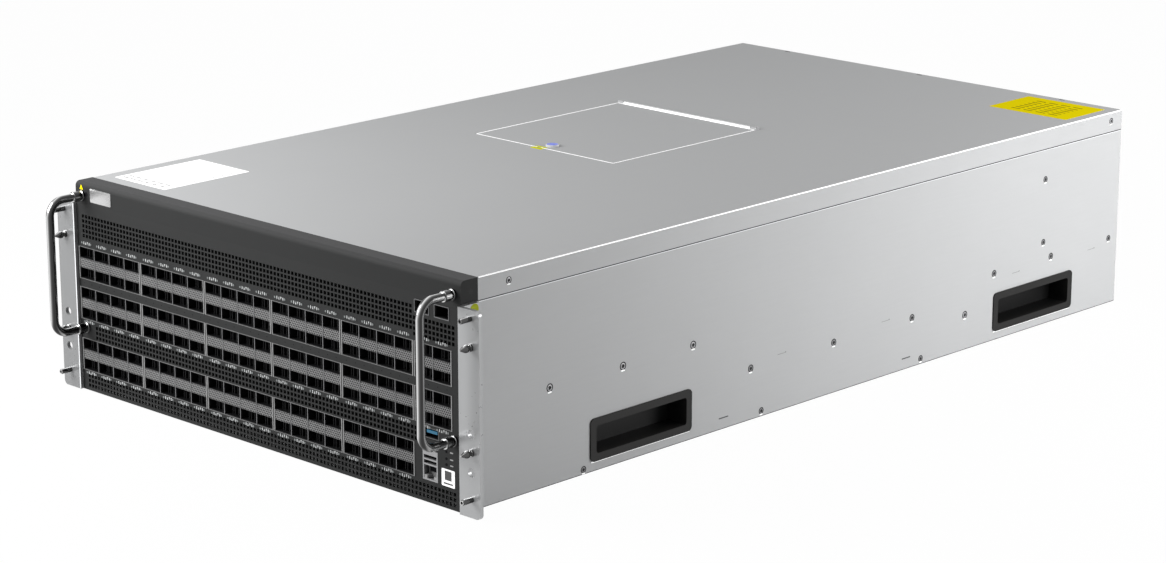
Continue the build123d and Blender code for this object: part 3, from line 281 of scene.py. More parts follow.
# %% Shared grain group
def build_grain_group():
    """Noise on stretched Object coordinates gives a tone between two colours, a gloss and a height."""
    group, given, result = start_group(
        "grain",
        (
            ("Stretch", "Vector", (1, 1, 1)),
            ("Scale", "Float", 200.0),
            ("Dark", "Color", (0.4, 0.4, 0.4, 1)),
            ("Light", "Color", (0.5, 0.5, 0.5, 1)),
            ("Least roughness", "Float", 0.3),
            ("Most roughness", "Float", 0.4),
        ),
        (("Colour", "Color"), ("Roughness", "Float"), ("Height", "Float")),
    )
    tree = group.nodes
    link = group.links.new
    place = tree.new("ShaderNodeTexCoord")
    stretch = maths(group, "VectorMath", "MULTIPLY", place.outputs["Object"], given.outputs["Stretch"])
    fine = tree.new("ShaderNodeTexNoise")
    fine.inputs["Detail"].default_value = 4
    link(stretch.outputs[0], fine.inputs["Vector"])
    link(given.outputs["Scale"], fine.inputs["Scale"])
    cloud = tree.new("ShaderNodeTexNoise")
    cloud.inputs["Scale"].default_value = 9
    cloud.inputs["Detail"].default_value = 2
    link(place.outputs["Object"], cloud.inputs["Vector"])
    both = maths(group, "Math", "ADD", fine.outputs["Fac"], cloud.outputs["Fac"])
    share = tree.new("ShaderNodeMapRange")
    share.inputs["From Min"].default_value = 0.6
    share.inputs["From Max"].default_value = 1.4
    link(both.outputs[0], share.inputs["Value"])
    tone = tree.new("ShaderNodeMix")
    tone.data_type = "RGBA"
    link(share.outputs["Result"], tone.inputs["Factor"])
    link(given.outputs["Dark"], tone.inputs["A"])
    link(given.outputs["Light"], tone.inputs["B"])
    gloss = tree.new("ShaderNodeMapRange")
    link(share.outputs["Result"], gloss.inputs["Value"])
    link(given.outputs["Least roughness"], gloss.inputs["To Min"])
    link(given.outputs["Most roughness"], gloss.inputs["To Max"])
    link(tone.outputs["Result"], result.inputs["Colour"])
    link(gloss.outputs["Result"], result.inputs["Roughness"])
    link(fine.outputs["Fac"], result.inputs["Height"])
    return group


grain_group = build_grain_group()
print("grain group has", len(grain_group.nodes), "nodes")

# %% [markdown]
# One function turns a colour, a metal share and a span of roughness into a material. The grain varies
# the tone by a few hundredths on both sides of the colour and raises a bump of half a millimetre at most.


# %% Finish maker
BUMP_DISTANCE = 0.0005


def finish(
    name, colour, metallic, rough, vary=0.06, scale=200.0, stretch=(1, 1, 1), bump=0.02, glow=0.0, gloss=0.5
):
    """A Principled material whose colour, roughness and bump come from the grain group."""
    material = bpy.data.materials.new(name)
    material.use_nodes = True
    tree = material.node_tree
    shader = tree.nodes["Principled BSDF"]
    colour = np.array(colour, float)
    grain = place_group(tree, grain_group, {
        "Stretch": stretch,
        "Scale": scale,
        "Dark": (*(colour * (1 - vary)), 1),
        "Light": (*np.minimum(colour * (1 + vary), 1), 1),
        "Least roughness": rough[0],
        "Most roughness": rough[1],
    })
    relief = tree.nodes.new("ShaderNodeBump")
    relief.inputs["Strength"].default_value = bump
    relief.inputs["Distance"].default_value = BUMP_DISTANCE
    tree.links.new(grain.outputs["Height"], relief.inputs["Height"])
    tree.links.new(relief.outputs["Normal"], shader.inputs["Normal"])
    tree.links.new(grain.outputs["Colour"], shader.inputs["Base Color"])
    tree.links.new(grain.outputs["Roughness"], shader.inputs["Roughness"])
    shader.inputs["Metallic"].default_value = metallic
    shader.inputs["Specular IOR Level"].default_value = gloss
    if glow:
        tree.links.new(grain.outputs["Colour"], shader.inputs["Emission Color"])
        shader.inputs["Emission Strength"].default_value = glow
    return material


def grey(tone):
    """The same tone in red, green and blue."""
    return (tone, tone, tone)


print("finishes can be made")

# %% [markdown]
# The body is zinc coated sheet with a soft, nearly even sheen, rolled from front to back, and the front is
# black powder coat, which is matt with a fine orange peel. The ears are brighter plates, and the left one
# is darker with painted shade. Edges that catch the light get a painted highlight, a little light of their
# own, because a bright edge is far thinner than a pixel.

# %% Sheet finishes
ROLLED = (1, 0.05, 1)
STEEL = (0.60, 0.61, 0.62)
COAT = (0.021, 0.0215, 0.0215)
body_steel = finish(
    "body_steel", (0.47, 0.475, 0.48), 0.05, (0.60, 0.68), 0.02, 500, ROLLED, 0.01, gloss=0.12
)
# The next two glow a little: they are painted highlights on seams, bends, edges and glints.
painted_seam_highlight = finish("painted_seam_highlight", STEEL, 0.0, (0.5, 0.6), 0.04, 300, glow=0.40)
painted_highlight = finish("painted_highlight", grey(0.92), 0.0, (0.30, 0.40), 0.02, 500, ROLLED, 0.01, glow=0.50)
front_coat = finish("front_coat", COAT, 0.0, (0.50, 0.58), 0.08, 900, bump=0.10, gloss=0.13)
ear_plate = finish("ear_plate", (0.40, 0.405, 0.41), 0.45, (0.27, 0.29), 0.0, 300, bump=0.0)
# The left ear's darker copy of the ear finish is painted shade.
ear_plate_left_painted_shade = finish("ear_plate_left_painted_shade", (0.24, 0.243, 0.246), 0.45, (0.27, 0.29), 0.0, 300, bump=0.0)
bare_aluminium = finish("bare_aluminium", STEEL, 0.9, (0.30, 0.42), 0.04, 300, ROLLED)
supply_grey = finish("supply_grey", (0.33, 0.335, 0.34), 0.5, (0.36, 0.44), 0.04, 400, ROLLED)
plate_silver = finish("plate_silver", grey(0.60), 0.8, (0.20, 0.28), 0.03, 600, (0.05, 1, 1), 0.01)
print("sheet finishes made")

# %% [markdown]
# The port field is plated sheet and mesh in front of darkness, which is painted shade. Its tones lie far
# apart, because the eye reads the field by its bright lines. The fasteners are either zinc grey or black,
# and the black of a recess is painted shade.

# %% Port and fastener finishes
FINE = {"vary": 0.05, "scale": 400}
mesh_metal = finish("mesh_metal", grey(0.25), 0.2, (0.40, 0.50), **FINE)
line_metal = finish("line_metal", grey(0.15), 0.2, (0.4, 0.5), **FINE)
edge_metal = finish("edge_metal", (0.17, 0.17, 0.175), 0.3, (0.35, 0.45), **FINE)
# The next two are near black: they colour the dark status lights, ribs and marks, and they are painted
# shade in ports, holes, behind the mesh and along the seams.
black_and_painted_shade = finish("black_and_painted_shade", (0.004, 0.004, 0.005), 0.0, (0.6, 0.75), 0.2, 400, gloss=0.1)
rib_black_and_painted_shadow = finish("rib_black_and_painted_shadow", (0.012, 0.012, 0.013), 0.0, (0.4, 0.5), 0.1, 400, gloss=0.2)
light_pipe = finish("light_pipe", (0.16, 0.17, 0.17), 0.0, (0.15, 0.25), 0.05, 900)
# Screw grooves and recesses take this black as painted shade.
screw_painted_shade = finish("screw_painted_shade", (0.010, 0.010, 0.011), 0.0, (0.4, 0.5), 0.1, 400, gloss=0.15)
screw_mid = finish("screw_mid", (0.21, 0.21, 0.215), 0.2, (0.4, 0.5), 0.1, 400, gloss=0.2)
screw_grey = finish("screw_grey", (0.36, 0.36, 0.37), 0.2, (0.24, 0.34), 0.08, 500)
print("port and fastener finishes made")

# %% [markdown]
# Fans and pockets are moulded in black plastic with an even texture, latches in blue. The boards have
# green solder mask.

# %% Plastic and board finishes
MOULDED = (0.0075, 0.0072, 0.0068)
MOULD_TEXTURE = {"vary": 0.12, "scale": 1200, "bump": 0.12, "gloss": 0.22}
moulded_black = finish("moulded_black", MOULDED, 0.0, (0.46, 0.58), **MOULD_TEXTURE)
board_green = finish("board_green", (0.012, 0.060, 0.028), 0.0, (0.30, 0.40), 0.15, 700)
latch_blue = finish("latch_blue", (0.030, 0.120, 0.300), 0.0, (0.35, 0.45), 0.06, 900, bump=0.06)
tongue_blue = finish("tongue_blue", (0.012, 0.130, 0.230), 0.0, (0.30, 0.40), 0.05, 900)
print("plastic and board finishes made")

# %% [markdown]
# Marks and labels are thin, flat colours. An image texture could carry them, but plain colours on small
# plates stay sharp at any distance.

# %% Print and label finishes
INK = {"vary": 0.05, "scale": 900}
DULL = (0.5, 0.6)
MATT = (0.75, 0.85)
print_white = finish("print_white", (0.42, 0.43, 0.43), 0.0, DULL, **INK)
# The white labels glow a little, which is painted light.
label_white_painted_glow = finish(
    "label_white_painted_glow", grey(0.93), 0.0, (0.45, 0.55), 0.01, 900, bump=0.01, glow=0.25, gloss=0.2
)
label_yellow = finish("label_yellow", (0.92, 0.76, 0.004), 0.0, MATT, 0.03, 900, bump=0.01, gloss=0.0)
spot_yellow = finish("spot_yellow", (0.74, 0.76, 0.03), 0.0, DULL, 0.05, 500, gloss=0.0)
print_brown = finish("print_brown", (0.30, 0.24, 0.01), 0.0, MATT, gloss=0.0, **INK)
earth_green = finish(
    "earth_green", (0.34, 0.38, 0.015), 0.0, (0.45, 0.55), 0.03, 900, bump=0.01, gloss=0.1
)
# The next two colour print, and they are also the painted shade of the wall slots and dimples.
ink_and_painted_shade = finish("ink_and_painted_shade", grey(0.05), 0.0, DULL, **INK)
grey_print_and_painted_shade = finish("grey_print_and_painted_shade", grey(0.20), 0.0, DULL, **INK)
label_faint = finish("label_faint", grey(0.30), 0.0, DULL, **INK)
print(len(bpy.data.materials), "materials so far")

# %% [markdown]
# Some finishes change over the object. A cage is bright where its front edge meets the light and nearly
# black a few millimetres inside, which is painted shade, and so is a carry pocket. The hood is painted
# lighter where it looks up, which is painted light, and the blue fastener has a pale rim. Each could be
# split into two pieces with two materials, but a tint keeps the change soft: it mixes in a second colour by
# where a value lies between two ends.


# %% Shared tint group
def build_tint_group():
    """The first colour where the value is at the start, the second at the end, a mix in between."""
    group, given, result = start_group(
        "tint",
        (
            ("Colour", "Color", (0.5, 0.5, 0.5, 1)),
            ("Second", "Color", (0.1, 0.1, 0.1, 1)),
            ("Value", "Float", 0.0),
            ("Start", "Float", 0.0),
            ("End", "Float", 1.0),
        ),
        (("Colour", "Color"),),
    )
    link = group.links.new
    share = group.nodes.new("ShaderNodeMapRange")
    mix = group.nodes.new("ShaderNodeMix")
    mix.data_type = "RGBA"
    link(given.outputs["Value"], share.inputs["Value"])
    link(given.outputs["Start"], share.inputs["From Min"])
    link(given.outputs["End"], share.inputs["From Max"])
    link(share.outputs["Result"], mix.inputs["Factor"])
    link(given.outputs["Colour"], mix.inputs["A"])
    link(given.outputs["Second"], mix.inputs["B"])
    link(mix.outputs["Result"], result.inputs["Colour"])
    return group


def tint_by(material, second, value, start, end):
    """Put the tint between the material's grain and its base colour."""
    tree = material.node_tree
    base = tree.nodes["Principled BSDF"].inputs["Base Color"]
    tint = place_group(tree, tint_group, {"Second": (*second, 1), "Start": start, "End": end})
    tree.links.new(value, tint.inputs["Value"])
    tree.links.new(base.links[0].from_socket, tint.inputs["Colour"])
    tree.links.new(tint.outputs["Colour"], base)


tint_group = build_tint_group()
print("tint group has", len(tint_group.nodes), "nodes")

# %% [markdown]
# The painted shade of the cages and the pockets follows the depth behind their opening. It comes from the
# Object coordinates, which are those of the whole part because every CAD node has its origin there.


# %% Painted shade inside cages and pockets
def build_depth_group():
    """The distance from the origin along a direction: the size of Object . Direction."""
    group, given, result = start_group(
        "depth", (("Direction", "Vector", (0, 1, 0)),), (("Distance", "Float"),)
    )
    place = group.nodes.new("ShaderNodeTexCoord").outputs["Object"]
    along = maths(group, "VectorMath", "DOT_PRODUCT", place, given.outputs["Direction"])
    distance = maths(group, "Math", "ABSOLUTE", along.outputs["Value"])
    group.links.new(distance.outputs["Value"], result.inputs["Distance"])
    return group


depth_group = build_depth_group()


def paint_shade_inwards(material, dark, direction, plane, depth):
    """Painted shade: the tone falls to dark over the depth behind a plane that is square to the direction.
    """
    distance = place_group(material.node_tree, depth_group, {"Direction": direction})
    tint_by(material, dark, distance.outputs["Distance"], plane * MM, (plane - depth) * MM)
    return material


def cage_sheet_painted_shade(name, light, dark, behind, depth):
    """Plated sheet of a cage whose painted shade falls dark from a little behind the front plane."""
    material = finish(name, light, 0.6, (0.35, 0.45), **FINE)
    return paint_shade_inwards(material, dark, (0, 1, 0), -FRONT - behind, depth)


cage_metal = cage_sheet_painted_shade("cage_metal", (0.024, 0.024, 0.025), (0.009, 0.009, 0.010), 0.1, 1.5)
jack_metal = cage_sheet_painted_shade("jack_metal", grey(0.10), (0.008, 0.008, 0.009), 0.2, 2.0)
console_metal = cage_sheet_painted_shade("console_metal", (0.33, 0.33, 0.335), (0.03, 0.03, 0.031), 0.4, 3.5)
pocket_black_painted_shade = finish("pocket_black_painted_shade", MOULDED, 0.0, (0.46, 0.58), **MOULD_TEXTURE)
paint_shade_inwards(pocket_black_painted_shade, grey(0.0015), (1, 0, 0), HALF_WIDTH - 0.5, 7.0)
print("depth group has", len(depth_group.nodes), "nodes")

# %% [markdown]
# The hood's top is painted lighter where it looks up, which is painted light, so its tint follows the
# height of the surface normal. The rim of the round fastener follows the distance from the fastener's own
# upright axis.

# %% Painted light on the hood top, and the fastener's rim
FASTENER_MIDDLE = (-35.0 * MM, -48.2 * MM, 0)
BLUE_RADIUS = 4.9 * MM
hood_coat = finish("hood_coat", COAT, 0.0, (0.62, 0.68), 0.05, 900, bump=0.10, gloss=0.13)
hood_tree = hood_coat.node_tree
normal_parts = hood_tree.nodes.new("ShaderNodeSeparateXYZ")
hood_normal = hood_tree.nodes.new("ShaderNodeNewGeometry").outputs["Normal"]
hood_tree.links.new(hood_normal, normal_parts.inputs[0])
# The hood's lighter top is painted light.
tint_by(hood_coat, (0.052, 0.052, 0.053), normal_parts.outputs["Z"], 0.5, 1.0)
spot_blue = finish("spot_blue", (0.11, 0.17, 0.78), 0.0, (0.30, 0.40), **INK)
spot_tree = spot_blue.node_tree
spot_place = spot_tree.nodes.new("ShaderNodeTexCoord").outputs["Object"]
flat = maths(spot_tree, "VectorMath", "MULTIPLY", spot_place, (1, 1, 0))
away = maths(spot_tree, "VectorMath", "DISTANCE", flat.outputs["Vector"], FASTENER_MIDDLE)
tint_by(spot_blue, (0.62, 0.63, 0.66), away.outputs["Value"], BLUE_RADIUS, BLUE_RADIUS * 1.01)
print("hood and fastener finishes made")

# %% [markdown]
# A polished rod shows the bright and the dark side of a room as streaks along its length. A mirror needs
# such a room around it; here the tone is a painted reflection that follows the angle between the surface
# and one bright side, so the streaks bend with the rod in any room. The rods and the pins share the angle,
# and each has its own ramp.

# %% Painted reflection for polished rods
BRIGHT_SIDE = (-0.55, -0.62, 0.56)
ROD_STOPS = (
    *((-0.62, 0.40), (-0.40, 0.05), (-0.10, 0.04), (0.14, 0.07)),
    *((0.32, 0.16), (0.50, 0.52), (0.68, 0.85), (0.79, 0.10)),
)
PIN_STOPS = (
    *((-0.85, 0.05), (-0.6, 0.07), (-0.2, 0.09), (0.2, 0.08)),
    *((0.45, 0.72), (0.7, 0.55), (0.84, 0.10)),
)


def build_painted_reflection_group():
    """The share (Normal . Bright side + 1) / 2, which is 1 where the surface looks at the bright side."""
    group, given, result = start_group(
        "painted_reflection_share", (("Bright side", "Vector", BRIGHT_SIDE),), (("Share", "Float"),)
    )
    normal = group.nodes.new("ShaderNodeNewGeometry").outputs["Normal"]
    product = maths(group, "VectorMath", "DOT_PRODUCT", normal, given.outputs["Bright side"])
    share = maths(group, "Math", "MULTIPLY_ADD", product.outputs["Value"], 0.5, 0.5)
    group.links.new(share.outputs["Value"], result.inputs["Share"])
    return group


painted_reflection_group = build_painted_reflection_group()


def painted_reflection_finish(name, stops):
    """Polished metal whose colour is a painted reflection: a ramp of tones; each stop is (Normal . Bright
    side, tone).
    """
    material = finish(name, grey(0.5), 1.0, (0.10, 0.16), 0.05, 300, bump=0.0)
    tree = material.node_tree
    painted_reflection_share = place_group(tree, painted_reflection_group, {"Bright side": BRIGHT_SIDE})
    ramp = tree.nodes.new("ShaderNodeValToRGB")
    colours = ramp.color_ramp.elements
    while len(colours) < len(stops):
        colours.new(0.5)
    for stop, (product, tone) in zip(colours, stops):
        stop.position = (product + 1) / 2
        stop.color = (*grey(tone), 1)
    tree.links.new(painted_reflection_share.outputs["Share"], ramp.inputs["Fac"])
    tree.links.new(ramp.outputs["Color"], tree.nodes["Principled BSDF"].inputs["Base Color"])
    return material


# Rods and pins carry the painted reflection.
polished = painted_reflection_finish("polished", ROD_STOPS)
pin_metal_painted_reflection = painted_reflection_finish("pin_metal_painted_reflection", PIN_STOPS)
print(len(bpy.data.materials), "materials in all")

# %% [markdown]
# The CAD solids keep their shapes and get only materials. Their names tell what they are, so a table of
# name beginnings is shorter and safer than a line for each of the sixty nodes.

# %% Finishes on the CAD nodes
NODE_FINISHES = {
    body_steel: ["base_pan", "side_wall_", "top_cover", "access_door", "card_bracket"]
    + ["bay_walls", "rear_frame"],
    hood_coat: ["front_hood"],
    front_coat: ["front_panel"],
    ear_plate: ["rack_ear_right"],
    ear_plate_left_painted_shade: ["rack_ear_left"],
    polished: ["handle_"],
    pin_metal_painted_reflection: ["ear_guide_pins", "ear_locating_studs"],
    screw_grey: ["side_screws", "clinch_studs"],
    moulded_black: ["fan_housing_", "fan_rotor_"],
    pocket_black_painted_shade: ["pocket_"],
    black_and_painted_shade: ["port_connectors"],
    cage_metal: ["cage_"],
    jack_metal: ["sfp_cages", "usb_port"],
    console_metal: ["console_port"],
    board_green: ["port_boards", "main_board", "power_board", "fan_boards", "control_card"],
    bare_aluminium: ["chip_heat_sink"],
    supply_grey: ["psu_case_"],
    latch_blue: ["fan_latch_", "psu_latch_"],
    spot_blue: ["door_fastener"],
}
dressed = 0
for material, starts in NODE_FINISHES.items():
    for label, node in nodes.items():
        if label.startswith(tuple(starts)):
            dressed += 1
            for material_slot in node.material_slots:
                material_slot.material = material
print(dressed, "CAD nodes dressed")

# %% [markdown]
# The front sheet is punched with well over a thousand square vents. Cutting them one by one would be
# slow, so the sheet is a grid: its lines are the edges of all openings, each cell is either metal or
# hole, and walls are added where metal meets a hole. The whole sheet comes from a few array operations.


# %% Sheet with holes
def holed_sheet(x_lines, z_lines, is_metal, front, back):
    """Cells of a grid that are metal get a front and a back face, and a wall beside each empty cell.
    A corner is (x line, front or back, z line)."""
    x, z = np.meshgrid(x_lines, z_lines, indexing="ij")
    layer = np.stack([x, np.full_like(x, front), z], 2).reshape(-1, 3)
    back_layer = layer + (0, back - front, 0)
    columns, rows = is_metal.shape
    index = np.arange(layer.shape[0]).reshape(columns + 1, rows + 1)
    low, right = index[:-1, :-1], index[1:, :-1]
    up, far = index[:-1, 1:], index[1:, 1:]
    total = layer.shape[0]
    padded = np.pad(is_metal, 1)
    metal = padded[1:-1, 1:-1]
    faces = [
        np.stack([low, right, far, up], 2)[metal],
        np.stack([low, up, far, right], 2)[metal] + total,
    ]
    for empty, first, second in (
        (~padded[:-2, 1:-1], low, up),
        (~padded[2:, 1:-1], far, right),
        (~padded[1:-1, :-2], right, low),
        (~padded[1:-1, 2:], up, far),
    ):
        at = metal & empty
        faces.append(np.stack([first, second, second + total, first + total], 2)[at])
    faces = np.concatenate(faces)
    points = np.concatenate([layer, back_layer])
    used, renumbered = np.unique(faces, return_inverse=True)
    return points[used], [renumbered.reshape(faces.shape)]


one_hole = np.array([(1, 1, 1), (1, 0, 1), (1, 1, 1)], bool)
print("a sheet with one hole has", len(holed_sheet(range(4), range(4), one_hole, 0, 1)[0]), "points")

# %% [markdown]
# The ports stand in three rows of two tiers, with a mesh band between the tiers. Each row has five groups
# of four columns, and the upper two rows have a last group of two. The columns share what the field
# leaves, so everything on the front lines up with the cages of the CAD.

# %% Places across the front
ROW_BASES = (17.2, 59.7, 93.0)
DECK = 0.6
CLEAR = 8.3
BAND = 8.4
ROW_HEIGHT = 2 * DECK + 2 * CLEAR + BAND
FIELD_LEFT = -HALF_WIDTH + 1.6
FIELD_RIGHT = HALF_WIDTH - 10.2
GROUP_GAP = 1.9
FULL_GROUPS = 5
GROUP_PORTS = 4
LAST_PORTS = 2
COLUMNS = FULL_GROUPS * GROUP_PORTS + LAST_PORTS
PITCH = (FIELD_RIGHT - FIELD_LEFT - FULL_GROUPS * GROUP_GAP) / COLUMNS
GROUP_STEP = GROUP_PORTS * PITCH + GROUP_GAP
LAST_GROUP = FIELD_LEFT + FULL_GROUPS * GROUP_STEP


def port_columns(row):
    """The left edge of each port column of one row, read from left to right."""
    counts = [GROUP_PORTS] * FULL_GROUPS + ([LAST_PORTS] if row else [])
    return [
        FIELD_LEFT + group * GROUP_STEP + number * PITCH
        for group, count in enumerate(counts)
        for number in range(count)
    ]


print("port columns in each row:", [len(port_columns(row)) for row in range(len(ROW_BASES))])

# %% [markdown]
# The sheet has windows for the rows, the small ports, the service port and the console block. The vents
# fill what is left over, on one pitch across the whole front, so that their columns line up.

# %% Windows and square vents
WINDOW_EDGE = 0.2
SMALL_X = (179.82, 200.42)
SMALL_Z = 145.68
SMALL_HALF = (7.8, 5.1)
SERVICE = (188.1, 52.9)
SERVICE_HALF = (8.15, 4.3)
CONSOLE = (186.56, 28.6)
CONSOLE_HALF = (8.0, 11.6)
VENT_PITCH = 4.0
VENT_SIZE = 2.8
VENT_END = 212.0
SERVICE_CLEAR = (11, 8)
VENT_FIELDS = (
    (-214, 171, (144.5, 140.5, 136.5, 132.5, 128.5)),
    (171, 214, (136.5, 132.5, 128.5, 124.5)),
    (-203, 178, (54.2, 50.2, 46.2)),
    (-214, 214, (12.6, 8.6, 4.6)),
)


def opening(x, z, half_width, half_height):
    """The left, right, lower and upper edge of a rectangle about its middle."""
    return x - half_width, x + half_width, z - half_height, z + half_height


windows = []
for row, base in enumerate(ROW_BASES):
    right = FIELD_RIGHT if row else LAST_GROUP - GROUP_GAP
    low, high = base - WINDOW_EDGE, base + ROW_HEIGHT + WINDOW_EDGE
    windows.append((FIELD_LEFT - WINDOW_EDGE, right + WINDOW_EDGE, low, high))
windows += [opening(x, SMALL_Z, *SMALL_HALF) for x in SMALL_X]
windows += [opening(*SERVICE, *SERVICE_HALF), opening(*CONSOLE, *CONSOLE_HALF)]
vent_x = np.arange(-VENT_END, VENT_END + VENT_PITCH / 2, VENT_PITCH)
vents = np.array([
    opening(x, z, VENT_SIZE / 2, VENT_SIZE / 2)
    for left, right, heights in VENT_FIELDS
    for x in vent_x[(vent_x > left) & (vent_x < right)]
    for z in heights
])
vent_middles = np.stack([vents[:, :2].mean(1), vents[:, 2:].mean(1)], 1)
near_service = (np.abs(vent_middles - SERVICE) < SERVICE_CLEAR).all(1)
holes = np.concatenate([windows, vents[~near_service]])
print(len(windows), "windows and", len(holes) - len(windows), "vents")

# %% [markdown]
# Now the grid: the edges of all holes are its lines, and the cells inside a hole are not metal. A lip at
# the top carries the hood, and it is part of the same folded sheet.

# %% Front sheet
SHEET_FOOT = 0.4
LIP_INSET = 3.0
LIP_DEPTH = 14.0
x_edges = np.concatenate([holes[:, 0], holes[:, 1], [-HALF_WIDTH, HALF_WIDTH]])
z_edges = np.concatenate([holes[:, 2], holes[:, 3], [SHEET_FOOT, SEAM]])
x_lines, z_lines = np.unique(np.round(x_edges, 4)), np.unique(np.round(z_edges, 4))
middle_x = (x_lines[:-1] + x_lines[1:]) / 2
middle_z = (z_lines[:-1] + z_lines[1:]) / 2
is_metal = np.ones((len(middle_x), len(middle_z)), bool)
for left, right, low, high in holes:
    columns = slice(*np.searchsorted(middle_x, (left, right)))
    rows = slice(*np.searchsorted(middle_z, (low, high)))
    is_metal[columns, rows] = False
sheet_shape = holed_sheet(x_lines, z_lines, is_metal, FRONT, FRONT + SHEET)
lip_place = (0, FRONT + SHEET + LIP_DEPTH / 2, SEAM - SHEET)
lip = stamp(rounded(2 * (HALF_WIDTH - LIP_INSET), LIP_DEPTH), [lip_place], "top", SHEET)
make_piece("front_sheet", [sheet_shape, lip], front_coat, "front_black", stands_for=["front_panel"])

# %% [markdown]
# Between the two tiers of each row runs a band of fine silver mesh with six-sided holes. An image with
# transparency would look flat from the side, so it is built from rings: an outer hexagon that meets its
# neighbours and an inner one that is the hole. Points that would stick out over the edge of a band are
# pulled back to it. A dark backing of painted shade hides what is behind the band.

# %% Mesh bands
MESH_PITCH = 1.9
MESH_HOLE_SHARE = 0.74
MESH_THICK = 0.25
MESH_LIFT = 0.3
MESH_SIDE_GAP = 0.35
MESH_END_GAP = 0.2
BACKING_GAP = (0.6, 0.2)
RING_POINTS = 24


def mesh_band(left, width, low, height, front):
    """Hexagon rings on a staggered grid: corners lie at R * (cos, sin) of 30 + 60 k degrees, with the
    inner ring at the hole's share of R and both rings on the front and on the back."""
    outer = MESH_PITCH / np.sqrt(3)
    step_z = MESH_PITCH * np.sqrt(3) / 2
    rows = int(np.ceil(height / step_z))
    columns = int(np.ceil(width / MESH_PITCH)) + 1
    row, column = np.meshgrid(np.arange(rows), np.arange(columns), indexing="ij")
    slack = (height - (rows - 1) * step_z) / 2
    x = left + (column + (row % 2) / 2) * MESH_PITCH
    z = low + slack + row * step_z
    keep = (x > left + MESH_END_GAP) & (x < left + width - MESH_END_GAP)
    middle = np.stack([x[keep], z[keep]], 1)
    angle = np.radians(30 + 60 * np.arange(6))
    corner = np.stack([np.cos(angle), np.sin(angle)], 1)
    rings = np.stack([outer * corner, outer * MESH_HOLE_SHARE * corner])
    flat = middle[:, None, None] + rings[None]
    flat[..., 0] = np.clip(flat[..., 0], left, left + width)
    flat[..., 1] = np.clip(flat[..., 1], low, low + height)
    points = np.stack([flat[..., 0], np.full(flat.shape[:-1], front), flat[..., 1]], -1)
    points = np.stack([points, points + (0, MESH_THICK, 0)], 1).reshape(len(middle), RING_POINTS, 3)
    k = np.arange(6)
    n = (k + 1) % 6
    ring = np.stack([k, n, n + 6, k + 6], 1)
    wall = np.stack([k + 6, n + 6, n + 18, k + 18], 1)
    rim = np.stack([n, k, k + 12, n + 12], 1)
    one = np.concatenate([ring, wall, rim, ring[:, ::-1] + 12])
    faces = np.arange(len(middle))[:, None, None] * RING_POINTS + one[None]
    return points.reshape(-1, 3), [faces.reshape(-1, 4)]


bands, backing_places = [], []
for row, base in enumerate(ROW_BASES):
    low = base + DECK + CLEAR
    for left in port_columns(row):
        width, height = PITCH - 2 * MESH_SIDE_GAP, BAND - 2 * MESH_END_GAP
        bands.append(
            mesh_band(left + MESH_SIDE_GAP, width, low + MESH_END_GAP, height, FRONT - MESH_LIFT)
        )
        backing_places.append((left + PITCH / 2, FRONT, low + BAND / 2))
backing = (PITCH - BACKING_GAP[0], BAND - BACKING_GAP[1])
make_piece("mesh_bands", bands, mesh_metal, "cage_metal")
plates("mesh_backing", backing, backing_places, "front", 0.04, black_and_painted_shade, "black_plastic")

# %% [markdown]
# Each port shows the thin bright edges of its folded cage, and a few upright ribs in the dark behind
# them. The edge of a sheet less than a millimetre thick vanishes in a render at this distance, so the
# edges are a little wider than the real sheet. An edge between two ports is narrower than one at the
# end of a group, and the number of times that a place occurs tells the two apart.

# %% Cage edges and ribs
RIB_SHARES = (0.27, 0.40, 0.62, 0.80)
RIB_SETBACK = 7
edges, ribs = [], []
for row, base in enumerate(ROW_BASES):
    low_middle = base + DECK + CLEAR / 2
    high_middle = low_middle + CLEAR + BAND
    for left in port_columns(row):
        edges += [(x, FRONT, base + ROW_HEIGHT / 2) for x in (left, left + PITCH)]
        for middle in (low_middle, high_middle):
            ribs += [(left + PITCH * share, FRONT + RIB_SETBACK, middle) for share in RIB_SHARES]
places, times = np.unique(np.round(edges, 3), axis=0, return_counts=True)
plates("cage_edges", (0.6, ROW_HEIGHT), places[times > 1], "front", 0.32, edge_metal)
plates("group_edges", (0.9, ROW_HEIGHT + 0.4), places[times == 1], "front", 0.36, mesh_metal)

# %% [markdown]
# Thin lines close the rows at the top and bottom, and a row of dots marks the strip between two rows.

# %% Row lines, dots and ribs
LINE_LIFT = 0.05
DOT_HEIGHT = 89.5
lines = []
for row, base in enumerate(ROW_BASES):
    for left in port_columns(row):
        heights = (base - LINE_LIFT, base + ROW_HEIGHT + LINE_LIFT)
        lines += [(left + PITCH / 2, FRONT, height) for height in heights]
plates("row_lines", (19.0, 0.4), lines, "front", 0.3, line_metal)
dots = [(left + PITCH * share, FRONT, DOT_HEIGHT) for left in port_columns(1) for share in (0.25, 0.75)]
plates("strip_dots", (0.8, 0.8, 0.35), dots, "front", 0.04, black_and_painted_shade, "front_black")
plates("port_ribs", (0.5, CLEAR), ribs, "front", 3.0, rib_black_and_painted_shadow)

# %% [markdown]
# Beside each column of ports stand two arrows, one for each tier, with a plain block and a light at each
# side. They are painted on the sheet, so they are plates a tenth of a millimetre thick, and all three
# rows of them come from one list of places.

# %% Port marks
MARK_ROWS = ((2, 122.6), (1, 57.4), (0, 15.0))
ARROW_SIDE = 1.1
BLOCK_SIDE = 3.4
LIGHT_SIDE = 5.6
PRINT = 0.08
arrow_up = np.array([(-0.8, -1.2), (0.8, -1.2), (0, 1.2)])
arrow_down = arrow_up[::-1] * (1, -1)
middles = [(left + PITCH / 2, height) for row, height in MARK_ROWS for left in port_columns(row)]


